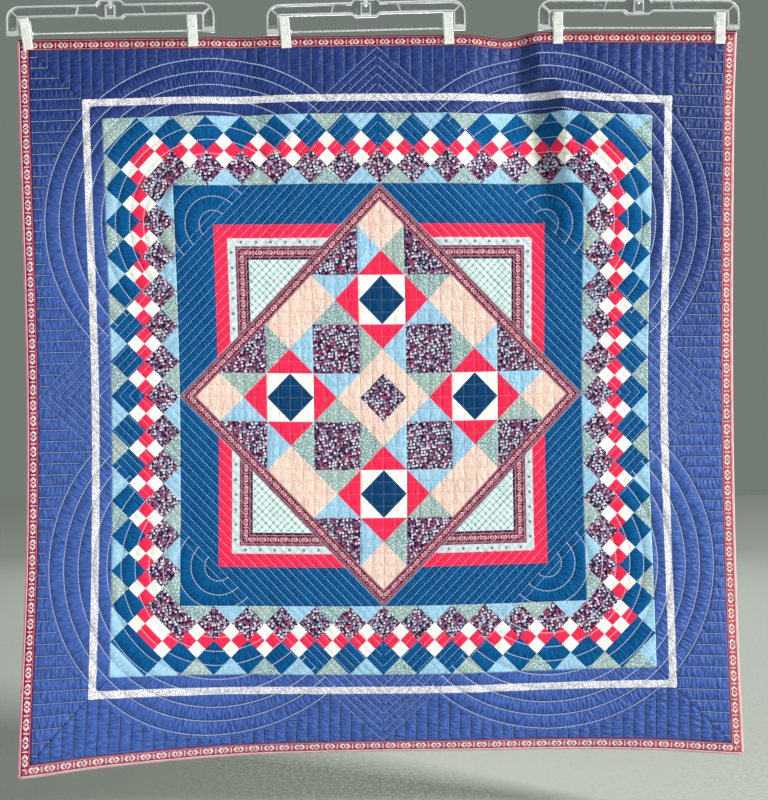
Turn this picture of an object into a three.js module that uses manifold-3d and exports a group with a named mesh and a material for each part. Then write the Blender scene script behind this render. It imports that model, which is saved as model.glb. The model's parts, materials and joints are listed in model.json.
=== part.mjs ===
// A patchwork medallion quilt that hangs face on from three clear clip hangers.
// Millimetres, +Z up, the quilt's front faces -Y. The origin is the seat of the middle hanger's hook.
import * as THREE from 'three';
import { mergeVertices } from 'three/addons/utils/BufferGeometryUtils.js';
import Module from 'manifold-3d';

const wasm = await Module();
wasm.setup();

// Quilt, laid flat: half sizes of its nested squares
const halfQuilt = 635;
const bandWidth = 21; // printed band along the outer edge
const halfRing = 487; // outer edge of the pieced ring
const squareRepeat = halfRing / 8; // one small square on point in the ring
const ringRepeats = 8;
const cellsPerRepeat = 3;
const whiteStripOuter = 522;
const whiteStripInner = 509;
const halfRedFrame = 297; // outer edge of the red frame, where the quilted arcs are centred
const medallionReach = 6 * squareRepeat; // from the middle to a tip of the medallion
const seamGap = 0.3; // between solids that meet

// Quilting: the lines that the batting puffs up between. Every second sewn line is raised here.
const arcPitch = 49.6;
const arcReach = 303;
const echoPitch = 35;
const lastEcho = 615;
const borderLinePitch = 38.8;
const medallionPitch = 42;
const halfThickness = 1.7; // half of the sheet along a sewn line
const frontPuff = 2.1;
const backPuff = 0.9;
const bandHalfThickness = 1.9;
const bandEdgeHalfThickness = 1.1;
const pinchedHalfThickness = 1.75; // between the jaws of a clip

// Where the hung sheet lies. Each row is a line across the quilt, from its bottom edge to its top,
// and holds the places where the columns cross it.
const columns = [-halfQuilt, -halfRing, 0, halfRing, halfQuilt];
const rows = [
  { v: -halfQuilt, x: [-642, -494, -7, 475, 627], z: [-655, -641, -621, -622, -629] },
  { v: -halfRing, x: [-639, -487, -5, 477, 623], z: [-488, -484, -485, -476, -478] },
  { v: 0, x: [-633, -482, -1, 467, 618], z: [9, 11, 4, 11, 11] },
  { v: halfRing, x: [-642, -494, -7, 480, 624], z: [499, 502, 508, 499, 494] },
  { v: halfQuilt, x: [-644, -496, -7, 482, 630], z: [643, 644, 645, 648, 648] },
];

// The fold beside the right hanger: a long slope back, then a steep return below the clip
const foldRows = [
  { v: 200, starts: 110, deepest: 280, ends: 352, depth: 0 },
  { v: 330, starts: 110, deepest: 285, ends: 348, depth: 15 },
  { v: 440, starts: 112, deepest: 288, ends: 345, depth: 33 },
  { v: 560, starts: 125, deepest: 278, ends: 326, depth: 24 },
  { v: 635, starts: 140, deepest: 240, ends: 288, depth: 11 },
];
const foldReach = 320; // how far the cloth beside the fold is drawn towards it

// Soft swells of the sheet: how far each stands forward at its middle, and its spread
const swells = [
  { place: 'lower left corner', u: -650, v: -650, across: 200, down: 240, forward: 38 },
  { place: 'lower right corner', u: 620, v: -620, across: 150, down: 190, forward: 15 },
  { place: 'left of the middle hanger', u: -244, v: 500, across: 62, down: 170, forward: -9 },
  { place: 'under the left hanger', u: -330, v: 380, across: 60, down: 240, forward: 6 },
  { place: 'under the right hanger', u: 430, v: 400, across: 80, down: 190, forward: 8 },
  { place: 'middle of the medallion', u: -20, v: -60, across: 260, down: 260, forward: -7 },
  { place: 'bottom middle', u: 130, v: -560, across: 150, down: 200, forward: 9 },
  { place: 'bottom left', u: -250, v: -590, across: 120, down: 200, forward: -8 },
];

// Rises and sags of the sheet in its own plane
const lifts = [
  { place: 'under the clip of the right hanger', u: 300, v: 500, across: 95, down: 125, up: 8 },
  { place: 'between the middle and right hangers', u: 222, v: 660, across: 44, down: 70, up: -8 },
];

// Clip hangers. The seat is the crown of the hook's inside.
const seatHeight = 783; // above the middle of the quilt
const barDrop = 128; // from the seat down to the bar
const hangers = [
  { side: 'left', seatX: -480, tilt: 0.76, width: 368 },
  { side: 'middle', seatX: -28, tilt: 0.97, width: 352 },
  { side: 'right', seatX: 457, tilt: -0.5, width: 356 },
];
// Clips by hanger: x from the hanger's middle, and how many degrees the clip leans
const clips = [
  { on: 'left', side: 'left', x: -149, lean: 7 },
  { on: 'left', side: 'right', x: 145, lean: 1 },
  { on: 'middle', side: 'left', x: -143.5, lean: 3.6 },
  { on: 'middle', side: 'right', x: 145, lean: 1.3 },
  { on: 'right', side: 'left', x: -143, lean: 0.5 },
  { on: 'right', side: 'right', x: 144, lean: 0 },
];
const hookWire = 1.75; // radius of the wire
const hookRadius = 21;
const hookSides = 8;
const hookSteps = 34;
const shankBottom = -58; // below the seat
const neck = { forward: 2.2, down: -44.5 };
const bendStart = -62; // degrees round the hook, from level at the back
const bendEnd = 205;
const bendStep = 20.5;
const hookHeadRadius = 3.2;
const hookHeadHeight = 3;
const hubTop = 56.7; // heights on a hanger's frame are measured from its bar
const hubHalfWidth = 19;
const hubBottom = 23.2;
const railTop = 48.7;
const railBottom = 28.7;
const shoulderRadius = 23;
const shoulderSteps = 6;
const hubSlope = 7;
const legCorner = 3;
const legWidth = 21;
const legBottom = -3.5;
const socketTop = 4.5;
const rimThickness = 2.6;
const rimDepth = 8;
const webDepth = 2;
const ribThickness = 1.8;
const ribDepth = 6.6;
const ribsFromHub = 59; // middle of the leaning rib on each side
const slotWidth = 13.6;
const slotHeight = 16.6;
const slotMiddle = 37;
const slotWall = 2.2;
const bossHalfWidth = 4;
const boreClearance = 0.3;
const barRadius = 1.75;
const barSides = 12;
const socketDepth = 16;
const clipWidth = 17.4;
const clipTop = 25.5;
const clipBottom = -29;
const jawGap = pinchedHalfThickness + 0.35; // from the middle plane to a jaw's inner face
const jawThickness = 2.8;
const jawFlare = 4.2; // how far a jaw's finger end leans out
const jawBend = 4; // height where the finger end starts to lean
const collarLength = 2.4; // from the jaw's side
const collarRadius = 3.6;
const collarGap = 0.9; // from the front jaw's side
const tabHeight = 4;
const heldAside = 29; // the sheet is held flat this far to each side of a clip's middle
const heldBelow = 63; // and this far below the bar
const holdFadeAside = 36;
const holdFadeBelow = 80;
const springWidth = 8;
const springThickness = 0.8;
const springFoot = 2; // width of the flat part beside the bar

const finishes = {
  quilted: { color: 0x3d4f93, roughness: 0.75, metalness: 0 },
  printed: { color: 0xa62f4b, roughness: 0.8, metalness: 0 },
  clear: { color: 0xdfe6e4, roughness: 0.15, metalness: 0, transparent: true, opacity: 0.45 },
  ribbed: { color: 0xe9ece6, roughness: 0.35, metalness: 0 },
  steel: { color: 0xc9ccd0, roughness: 0.2, metalness: 1 },
};

const smoothStep = (t) => {
  const s = Math.min(Math.max(t, 0), 1);
  return s * s * (3 - 2 * s);
};
const mix = (a, b, t) => a + (b - a) * t;
const bell = (distance, spread) => Math.exp(-((distance / spread) ** 2));
const radians = THREE.MathUtils.degToRad;

// Smooth curve through values at uneven places
function throughStations(places, values, at) {
  const last = places.length - 1;
  let k = 0;
  while (k < last - 1 && at > places[k + 1]) k += 1;
  const slope = (i) => {
    const before = Math.max(i - 1, 0);
    const after = Math.min(i + 1, last);
    return (values[after] - values[before]) / (places[after] - places[before]);
  };
  const span = places[k + 1] - places[k];
  const t = (at - places[k]) / span;
  const t2 = t * t;
  const t3 = t2 * t;
  return (
    (2 * t3 - 3 * t2 + 1) * values[k] +
    (t3 - 2 * t2 + t) * span * slope(k) +
    (3 * t2 - 2 * t3) * values[k + 1] +
    (t3 - t2) * span * slope(k + 1)
  );
}

function foldAt(v) {
  const places = foldRows.map((row) => row.v);
  const at = Math.min(Math.max(v, places[0]), places[places.length - 1]);
  const read = (column) => throughStations(places, foldRows.map((row) => row[column]), at);
  return {
    starts: read('starts'),
    deepest: read('deepest'),
    ends: read('ends'),
    depth: Math.max(read('depth'), 0),
  };
}

// Sum of the bumps of a table at a point of the flat quilt
function bumpsAt(bumps, u, v, column) {
  return bumps.reduce((sum, bump) => {
    return sum + bump[column] * bell(u - bump.u, bump.across) * bell(v - bump.v, bump.down);
  }, 0);
}

// Where a point of the flat quilt hangs, on the sheet's middle surface
function hang(u, v) {
  const heights = rows.map((row) => row.v);
  const onRows = (axis) => {
    const alongRows = rows.map((row) => throughStations(columns, row[axis], u));
    return throughStations(heights, alongRows, v);
  };
  const fold = foldAt(v);
  const slope = fold.deepest - fold.starts;
  const steep = fold.ends - fold.deepest;
  const returned = smoothStep((u - fold.deepest) / steep);
  const back = fold.depth * (smoothStep((u - fold.starts) / slope) - returned);
  // The steep side takes up width, so the cloth on both sides is drawn towards it
  const drawn = (0.6 * fold.depth ** 2) / steep;
  const near = smoothStep(1 - Math.abs(u - (fold.deepest + fold.ends) / 2) / foldReach);
  const place = new THREE.Vector3(
    onRows('x') + drawn * (0.5 - returned) * near,
    back - bumpsAt(swells, u, v, 'forward'),
    onRows('z') + bumpsAt(lifts, u, v, 'up'),
  );
  place.y *= 1 - clipHold(place);
  return place;
}

// 1 where a clip holds the sheet, 0 away from the clips
function clipHold(place) {
  let hold = 0;
  for (const clip of clips) {
    const hanger = hangers.find((each) => each.side === clip.on);
    const clipX = hanger.seatX + barDrop * Math.sin(radians(hanger.tilt)) + clip.x;
    const aside = Math.abs(place.x - clipX) - heldAside;
    const below = seatHeight - barDrop - heldBelow - place.z;
    const heldHere = (1 - smoothStep(aside / holdFadeAside)) * (1 - smoothStep(below / holdFadeBelow));
    hold = Math.max(hold, heldHere);
  }
  return hold;
}

// 0 on a sewn line, 1 half way between two
function puffBetween(distance, pitch) {
  return Math.sqrt(Math.abs(Math.sin((Math.PI * distance) / pitch)));
}

// Puff of the batting at a point of the flat quilt
function puff(u, v) {
  const a = Math.abs(u);
  const b = Math.abs(v);
  const fromMiddle = a + b;
  if (fromMiddle < medallionReach) {
    return Math.min(puffBetween(a, medallionPitch), puffBetween(b, medallionPitch));
  }
  const radius = Math.hypot(a - halfRedFrame, b - halfRedFrame);
  if (fromMiddle > 2 * halfRedFrame && radius < arcReach) return puffBetween(radius, arcPitch);
  if (fromMiddle < lastEcho) return puffBetween(fromMiddle, echoPitch);
  return puffBetween(Math.min(a, b), borderLinePitch);
}

// Closed slab from a grid of stations. Its back has larger cells, but every station along the edges.
function slab(cellsAcross, cellsUp, backStep, place) {
  const points = [];
  const faces = [];
  const indices = new Map();
  const index = (i, j, side) => {
    const key = `${i},${j},${side}`;
    if (!indices.has(key)) {
      indices.set(key, points.length / 3);
      points.push(...place(i / cellsAcross, j / cellsUp, side).toArray());
    }
    return indices.get(key);
  };
  const onEdge = ([i, j]) => i === 0 || j === 0 || i === cellsAcross || j === cellsUp;
  const fromMiddle = ([i, j]) => Math.hypot(i / cellsAcross - 0.5, j / cellsUp - 0.5);
  // Corners of a cell, anticlockwise from the front, with what edge stations lie between them
  const cellOutline = (i, j, step) => {
    const corners = [[i, j], [i + step, j], [i + step, j + step], [i, j + step]];
    const distances = corners.map(fromMiddle);
    const start = distances.indexOf(Math.min(...distances));
    const outline = [];
    for (let k = 0; k < 4; k += 1) {
      const from = corners[(start + k) % 4];
      const to = corners[(start + k + 1) % 4];
      outline.push(from);
      const between = [(from[0] + to[0]) / 2, (from[1] + to[1]) / 2];
      if (step === 2 && onEdge(between)) outline.push(between);
    }
    return outline;
  };
  for (const [side, step] of [['front', 1], ['back', backStep]]) {
    for (let j = 0; j < cellsUp; j += step) {
      for (let i = 0; i < cellsAcross; i += step) {
        const [first, ...others] = cellOutline(i, j, step).map(([p, q]) => index(p, q, side));
        for (let k = 0; k + 1 < others.length; k += 1) {
          if (side === 'front') faces.push(first, others[k], others[k + 1]);
          else faces.push(first, others[k + 1], others[k]);
        }
      }
    }
  }
  const rim = [];
  for (let i = 0; i < cellsAcross; i += 1) rim.push([i, 0]);
  for (let j = 0; j < cellsUp; j += 1) rim.push([cellsAcross, j]);
  for (let i = cellsAcross; i > 0; i -= 1) rim.push([i, cellsUp]);
  for (let j = cellsUp; j > 0; j -= 1) rim.push([0, j]);
  rim.forEach((from, k) => {
    const to = rim[(k + 1) % rim.length];
    const [a, b] = [index(...from, 'front'), index(...to, 'front')];
    const [c, d] = [index(...from, 'back'), index(...to, 'back')];
    faces.push(b, a, c, b, c, d);
  });
  const geometry = new THREE.BufferGeometry();
  geometry.setAttribute('position', new THREE.Float32BufferAttribute(points, 3));
  geometry.setIndex(faces);
  geometry.computeVertexNormals();
  return geometry;
}

// Stations from the middle out to the printed band, on the seams of the ring and of the white strip
function quiltStations() {
  const cells = ringRepeats * cellsPerRepeat;
  const half = Array.from({ length: cells + 1 }, (_, k) => (halfRing * k) / cells);
  const edge = halfQuilt - bandWidth - seamGap / 2;
  half.push(whiteStripInner, whiteStripOuter);
  for (const part of [1 / 3, 2 / 3, 1]) half.push(mix(whiteStripOuter, edge, part));
  return [...half.slice(1).reverse().map((s) => -s), ...half];
}

function quiltBody() {
  const stations = quiltStations();
  const cells = stations.length - 1;
  return slab(cells, cells, 2, (across, up, side) => {
    const u = stations[Math.round(across * cells)];
    const v = stations[Math.round(up * cells)];
    const place = hang(u, v);
    const raised = side === 'front' ? frontPuff : backPuff;
    const thickness = mix(halfThickness + raised * puff(u, v), pinchedHalfThickness, clipHold(place));
    place.y += side === 'front' ? -thickness : thickness;
    return place;
  });
}

// One side of the printed band. turn 0 is the top, then left, bottom and right.
function bandStrip(turn) {
  const inner = halfQuilt - bandWidth + seamGap / 2;
  const stations = quiltStations();
  const cellsAlong = stations.length - 1;
  return slab(cellsAlong, 1, 1, (along, across, side) => {
    const out = mix(inner, halfQuilt, across);
    const mitre = out - seamGap * Math.SQRT1_2;
    const s = (stations[Math.round(along * cellsAlong)] / stations[cellsAlong]) * mitre;
    const [u, v] = [[s, out], [-out, s], [-s, -out], [out, -s]][turn];
    const place = hang(u, v);
    const half = across === 1 ? bandEdgeHalfThickness : bandHalfThickness;
    const thickness = Math.min(half, mix(half, pinchedHalfThickness, clipHold(place)));
    place.y += side === 'front' ? -thickness : thickness;
    return place;
  });
}

function toSolid(geometry) {
  const bare = geometry.clone();
  bare.deleteAttribute('normal');
  bare.deleteAttribute('uv');
  const merged = mergeVertices(bare, 1e-4);
  const vertProperties = new Float32Array(merged.attributes.position.array);
  const triVerts = new Uint32Array(merged.index.array);
  return new wasm.Manifold(new wasm.Mesh({ numProp: 3, vertProperties, triVerts }));
}

function toGeometry(solid) {
  const { vertProperties, triVerts } = solid.getMesh();
  const geometry = new THREE.BufferGeometry();
  geometry.setAttribute('position', new THREE.Float32BufferAttribute(vertProperties, 3));
  geometry.setIndex([...triVerts]);
  geometry.computeVertexNormals();
  return geometry;
}

// Outline in x and z, drawn with a depth centred on y = 0
function plate(shape, depth) {
  const geometry = new THREE.ExtrudeGeometry(shape, { depth, bevelEnabled: false });
  return geometry.rotateX(Math.PI / 2).translate(0, depth / 2, 0);
}

// Outline in y and z, drawn along x and centred on x = 0
function sideProfile(points, length) {
  const shape = new THREE.Shape(points.map(([y, z]) => new THREE.Vector2(y, z)));
  const geometry = new THREE.ExtrudeGeometry(shape, { depth: length, bevelEnabled: false });
  const turned = new THREE.Matrix4().makeBasis(
    new THREE.Vector3(0, 1, 0),
    new THREE.Vector3(0, 0, 1),
    new THREE.Vector3(1, 0, 0),
  );
  return geometry.applyMatrix4(turned).translate(-length / 2, 0, 0);
}

function box(x0, x1, z0, z1, depth) {
  return new THREE.BoxGeometry(x1 - x0, depth, z1 - z0).translate((x0 + x1) / 2, 0, (z0 + z1) / 2);
}

function rodAlongX(radius, x0, x1) {
  const rod = new THREE.CylinderGeometry(radius, radius, x1 - x0, barSides);
  return rod.rotateZ(Math.PI / 2).translate((x0 + x1) / 2, 0, 0);
}

function rodAlongZ(radius, z0, z1) {
  const rod = new THREE.CylinderGeometry(radius, radius, z1 - z0, barSides);
  return rod.rotateX(Math.PI / 2).translate(0, 0, (z0 + z1) / 2);
}

// Right half of the frame's outline, from the hub's top round the leg to the hub's bottom
function frameHalf(halfWidth) {
  const shoulder = Array.from({ length: shoulderSteps + 1 }, (_, k) => {
    const angle = (Math.PI / 2) * (1 - k / shoulderSteps);
    return [
      halfWidth - shoulderRadius * (1 - Math.cos(angle)),
      railTop - shoulderRadius * (1 - Math.sin(angle)),
    ];
  });
  return [
    [hubHalfWidth, hubTop],
    [hubHalfWidth + hubSlope, railTop],
    ...shoulder,
    [halfWidth, legBottom],
    [halfWidth - legWidth, legBottom],
    [halfWidth - legWidth, railBottom - legCorner],
    [halfWidth - legWidth - legCorner, railBottom],
    [hubHalfWidth + hubSlope, railBottom],
    [hubHalfWidth, hubBottom],
  ];
}

// Moves each side of a clockwise outline inwards
function inset(points, by) {
  const count = points.length;
  return points.map((point, k) => {
    const before = points[(k + count - 1) % count];
    const after = points[(k + 1) % count];
    const first = point.clone().sub(before).normalize();
    const second = after.clone().sub(point).normalize();
    const inward = new THREE.Vector2(first.y + second.y, -first.x - second.x).normalize();
    const lean = inward.x * first.y - inward.y * first.x;
    return point.clone().addScaledVector(inward, by / lean);
  });
}

// Rib between two points of the frame's face
function rib(x0, z0, x1, z1) {
  const along = new THREE.Vector2(x1 - x0, z1 - z0);
  const bar = new THREE.BoxGeometry(along.length(), ribDepth, ribThickness);
  return bar.rotateY(-along.angle()).translate((x0 + x1) / 2, 0, (z0 + z1) / 2);
}

// Box round the hub's slot, with a margin on each side
function slotBox(margin, depth) {
  const across = slotWidth / 2 + margin;
  const up = slotHeight / 2 + margin;
  return box(-across, across, slotMiddle - up, slotMiddle + up, depth);
}

function hangerFrame(width) {
  const half = width / 2;
  const right = frameHalf(half);
  const left = [...right].reverse().map(([x, z]) => [-x, z]);
  const outline = [...right, ...left].map(([x, z]) => new THREE.Vector2(x, z));
  const withinRim = new THREE.Shape(inset(outline, rimThickness));
  const socketIn = half - legWidth;
  const added = [
    plate(new THREE.Shape(outline), webDepth),
    slotBox(slotWall, rimDepth),
    box(-bossHalfWidth, bossHalfWidth, slotMiddle, hubTop, rimDepth),
  ];
  const cut = [slotBox(0, rimDepth + 2), rodAlongZ(hookWire + boreClearance, slotMiddle, hubTop + 1)];
  for (const side of [-1, 1]) {
    const [legIn, legOut] = [side * socketIn, side * half].sort((p, q) => p - q);
    const [from, to] = [side * (socketIn - 1), side * (socketIn + socketDepth)].sort((p, q) => p - q);
    added.push(
      box(legIn, legOut, legBottom, socketTop, rimDepth),
      rib(side * (socketIn - 0.5), railBottom - 0.5, side * (half - 7.5), railTop - 7.5),
      rib(side * (ribsFromHub - 3), railBottom + 1, side * (ribsFromHub + 3), railTop - 1),
    );
    cut.push(rodAlongX(barRadius + boreClearance, from, to));
  }
  let solid = toSolid(plate(new THREE.Shape(outline), rimDepth));
  solid = solid.subtract(toSolid(plate(withinRim, rimDepth + 2)));
  for (const piece of added) solid = solid.add(toSolid(piece));
  for (const piece of cut) solid = solid.subtract(toSolid(piece));
  return toGeometry(solid);
}

// Wire hook, turned square to the frame, with a headed shank that turns in the hub
function hook() {
  const centre = hookWire - hookRadius;
  const headTop = slotMiddle + slotHeight / 2 - boreClearance - barDrop;
  const points = [
    [0, headTop - 2],
    [0, (headTop + shankBottom) / 2],
    [0, shankBottom],
    [0, shankBottom + 6],
    [neck.forward, neck.down],
  ];
  for (let angle = bendStart; angle <= bendEnd; angle += bendStep) {
    const turn = radians(angle);
    points.push([hookRadius * Math.cos(turn), centre + hookRadius * Math.sin(turn)]);
  }
  points.push([-hookRadius - 1.5, centre - 13]);
  const path = new THREE.CatmullRomCurve3(points.map(([y, z]) => new THREE.Vector3(0, y, z)));
  const section = Array.from({ length: hookSides }, (_, k) => {
    const turn = (2 * Math.PI * (k + 0.5)) / hookSides;
    return new THREE.Vector2(hookWire * Math.cos(turn), hookWire * Math.sin(turn));
  });
  const drawn = { extrudePath: path, steps: hookSteps };
  const wire = new THREE.ExtrudeGeometry(new THREE.Shape(section), drawn);
  const head = rodAlongZ(hookHeadRadius, headTop - hookHeadHeight, headTop);
  return toGeometry(toSolid(wire).add(toSolid(head)));
}

// Front jaw in side view: a straight pad that grips, then a finger end that leans out
function jawProfile() {
  const pad = -jawGap;
  const finger = pad - jawFlare;
  return [
    [pad, clipBottom],
    [pad, jawBend],
    [finger, clipTop],
    [finger - jawThickness * 0.8, clipTop - 0.4],
    [pad - jawThickness - 0.5, jawBend - 1],
    [pad - jawThickness, -3],
    [pad - jawThickness * 0.8, clipBottom + 3],
    [pad - jawThickness * 0.55, clipBottom],
  ];
}

function frontJaw() {
  return sideProfile([...jawProfile()].reverse(), clipWidth);
}

// Back jaw, with the collar that runs on the bar on the side towards the hub.
// The jaw leans, its collar doesn't.
function backJaw(hubSide, lean) {
  const mirrored = jawProfile().map(([y, z]) => [-y, z]);
  const near = hubSide * (clipWidth / 2 + collarGap);
  const far = hubSide * (clipWidth / 2 + collarLength);
  const onBar = (radius, from, to) => {
    const [x0, x1] = [from, to].sort((p, q) => p - q);
    return toSolid(rodAlongX(radius, x0, x1).rotateY(radians(lean)));
  };
  const tabWidth = collarLength + 1.5;
  const tab = new THREE.BoxGeometry(tabWidth, jawThickness, tabHeight);
  tab.translate(
    hubSide * (clipWidth / 2 + collarLength - tabWidth / 2),
    jawGap + jawThickness / 2,
    -near * Math.sin(radians(lean)),
  );
  let solid = toSolid(sideProfile(mirrored, clipWidth));
  solid = solid.add(onBar(collarRadius, near, far)).add(toSolid(tab));
  solid = solid.subtract(onBar(barRadius + boreClearance, near - hubSide, far + hubSide));
  return toGeometry(solid);
}

// Leaf spring bent to a U between the finger ends of the jaws
function clipSpring() {
  const inside = (z) => {
    const risen = Math.max(z - jawBend, 0) / (clipTop - jawBend);
    return jawGap + jawFlare * risen - 0.3;
  };
  const low = barRadius + 1.6;
  const bend = low + 3;
  const high = clipTop - 6;
  const frontHalf = [
    [-inside(high), high],
    [-inside(bend), bend],
    [-springFoot / 2, low],
  ];
  const outer = [...frontHalf, ...[...frontHalf].reverse().map(([y, z]) => [-y, z])];
  const inner = [...outer].reverse().map(([y, z]) => [
    y - Math.sign(y) * Math.min(springThickness, Math.abs(y) * 0.6),
    z === high ? z : z + springThickness,
  ]);
  return sideProfile([...outer, ...inner], springWidth);
}

function pieceOf(name, geometry, finish) {
  const mesh = new THREE.Mesh(geometry, new THREE.MeshStandardMaterial(finishes[finish]));
  mesh.name = name;
  return mesh;
}

function clipOnBar(clip) {
  const group = new THREE.Group();
  const label = `${clip.on}_hanger_${clip.side}_clip`;
  group.add(pieceOf(`${label}_front_jaw`, frontJaw(), 'ribbed'));
  group.add(pieceOf(`${label}_back_jaw`, backJaw(-Math.sign(clip.x), clip.lean), 'ribbed'));
  group.add(pieceOf(`${label}_spring`, clipSpring(), 'steel'));
  group.position.x = clip.x;
  group.rotation.y = -radians(clip.lean);
  return group;
}

function hangerGroup(hanger) {
  const reach = hanger.width / 2 - legWidth + socketDepth - boreClearance;
  const onBar = new THREE.Group();
  onBar.position.z = -barDrop;
  onBar.add(pieceOf(`${hanger.side}_hanger_frame`, hangerFrame(hanger.width), 'clear'));
  onBar.add(pieceOf(`${hanger.side}_hanger_bar`, rodAlongX(barRadius, -reach, reach), 'steel'));
  for (const clip of clips.filter((each) => each.on === hanger.side)) onBar.add(clipOnBar(clip));
  const group = new THREE.Group();
  group.add(pieceOf(`${hanger.side}_hanger_hook`, hook(), 'steel'), onBar);
  group.position.set(hanger.seatX, 0, seatHeight);
  group.rotation.y = -radians(hanger.tilt);
  return group;
}

const hung = new THREE.Group();
hung.add(pieceOf('quilt_body', quiltBody(), 'quilted'));
['top', 'left', 'bottom', 'right'].forEach((side, turn) => {
  hung.add(pieceOf(`${side}_band`, bandStrip(turn), 'printed'));
});
for (const hanger of hangers) hung.add(hangerGroup(hanger));
const middle = hangers.find((hanger) => hanger.side === 'middle');
hung.position.set(-middle.seatX, 0, -seatHeight);

const model = new THREE.Group();
model.add(hung);
model.updateMatrixWorld(true);

export default model;
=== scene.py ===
import json
import math

import bmesh
import bpy
import numpy as np
from mathutils import Matrix, Vector

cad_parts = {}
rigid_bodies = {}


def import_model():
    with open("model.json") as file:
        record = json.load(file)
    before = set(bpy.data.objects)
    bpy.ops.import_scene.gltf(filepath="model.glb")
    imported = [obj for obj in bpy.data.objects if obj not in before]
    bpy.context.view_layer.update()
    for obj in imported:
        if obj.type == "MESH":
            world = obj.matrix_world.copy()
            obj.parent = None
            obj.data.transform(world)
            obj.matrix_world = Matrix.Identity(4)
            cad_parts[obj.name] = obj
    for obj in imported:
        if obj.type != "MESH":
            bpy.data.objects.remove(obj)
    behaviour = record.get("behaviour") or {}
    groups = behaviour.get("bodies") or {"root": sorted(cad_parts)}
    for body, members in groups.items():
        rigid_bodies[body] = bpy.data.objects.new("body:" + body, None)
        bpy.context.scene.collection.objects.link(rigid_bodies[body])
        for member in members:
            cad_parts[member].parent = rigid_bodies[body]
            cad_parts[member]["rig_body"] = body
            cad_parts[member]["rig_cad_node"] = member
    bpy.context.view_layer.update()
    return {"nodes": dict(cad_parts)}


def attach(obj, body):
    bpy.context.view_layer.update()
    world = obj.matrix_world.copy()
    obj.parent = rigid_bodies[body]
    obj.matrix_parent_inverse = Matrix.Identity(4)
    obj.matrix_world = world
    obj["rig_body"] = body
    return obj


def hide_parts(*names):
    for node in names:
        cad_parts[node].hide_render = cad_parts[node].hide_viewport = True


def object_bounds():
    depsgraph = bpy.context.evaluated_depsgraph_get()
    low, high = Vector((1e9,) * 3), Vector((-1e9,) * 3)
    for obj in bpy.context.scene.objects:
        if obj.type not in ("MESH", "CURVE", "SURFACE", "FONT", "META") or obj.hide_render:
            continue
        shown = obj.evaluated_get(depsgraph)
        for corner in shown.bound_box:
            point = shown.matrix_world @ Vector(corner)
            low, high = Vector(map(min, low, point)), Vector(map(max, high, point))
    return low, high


# Patchwork medallion quilt on three clear clip hangers. Metres, +Z up, the quilt's front faces -Y.

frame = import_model()
print("frame loaded with", len(frame["nodes"]), "nodes")


# The sheet and how it hangs

quilt = {
    "halfQuilt": 0.635,
    "bandWidth": 0.021,
    "halfRing": 0.487,
    "ringRepeats": 8,  # squares on point from the middle of a side to the ring's corner
    "innerRepeats": 6,  # the same to the ring's inner corner
    "cellsPerRepeat": 24,
    "whiteStripInner": 0.509,
    "whiteStripOuter": 0.522,
    "centreCells": 139,  # from the middle to the ring's inner edge
    "medallionUnit": 32,  # cells in one square of the medallion
    "medallionReach": 4,  # squares from the medallion's middle to its printed strip
    "redFrameCells": (104, 113),
    "greyStripCells": (99, 104),
    "printStripCells": (90, 99),
    "halfThickness": 0.0017,
    "backPuff": 0.55,  # how far the back puffs, as a share of the front
    "backCrease": 0.4,  # how deep a crease is there, as a share of the front
    "seamDepth": 0.00045,
    "pinchedHalfThickness": 0.00175,
    "seamAllowance": 0.0014,
}
repeat = quilt["halfRing"] / quilt["ringRepeats"]
halfCentre = quilt["innerRepeats"] * repeat
centreCell = halfCentre / quilt["centreCells"]
medallionUnit = quilt["medallionUnit"] * centreCell
halfRedFrame = quilt["redFrameCells"][1] * centreCell
halfBody = quilt["halfQuilt"] - quilt["bandWidth"]

# Each row is a line across the quilt, from its bottom edge to its top, and each column a line down it
columns = [-0.635, -0.487, 0, 0.487, 0.635]
rows = [
    {"v": -0.635, "x": [-0.642, -0.494, -0.007, 0.475, 0.627], "z": [-0.655, -0.641, -0.621, -0.622, -0.629]},
    {"v": -0.487, "x": [-0.639, -0.487, -0.005, 0.477, 0.623], "z": [-0.488, -0.484, -0.485, -0.476, -0.478]},
    {"v": 0, "x": [-0.633, -0.482, -0.001, 0.467, 0.618], "z": [0.009, 0.011, 0.004, 0.011, 0.011]},
    {"v": 0.487, "x": [-0.642, -0.494, -0.007, 0.480, 0.624], "z": [0.499, 0.502, 0.508, 0.499, 0.494]},
    {"v": 0.635, "x": [-0.644, -0.496, -0.007, 0.482, 0.630], "z": [0.643, 0.644, 0.645, 0.648, 0.648]},
]
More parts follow.
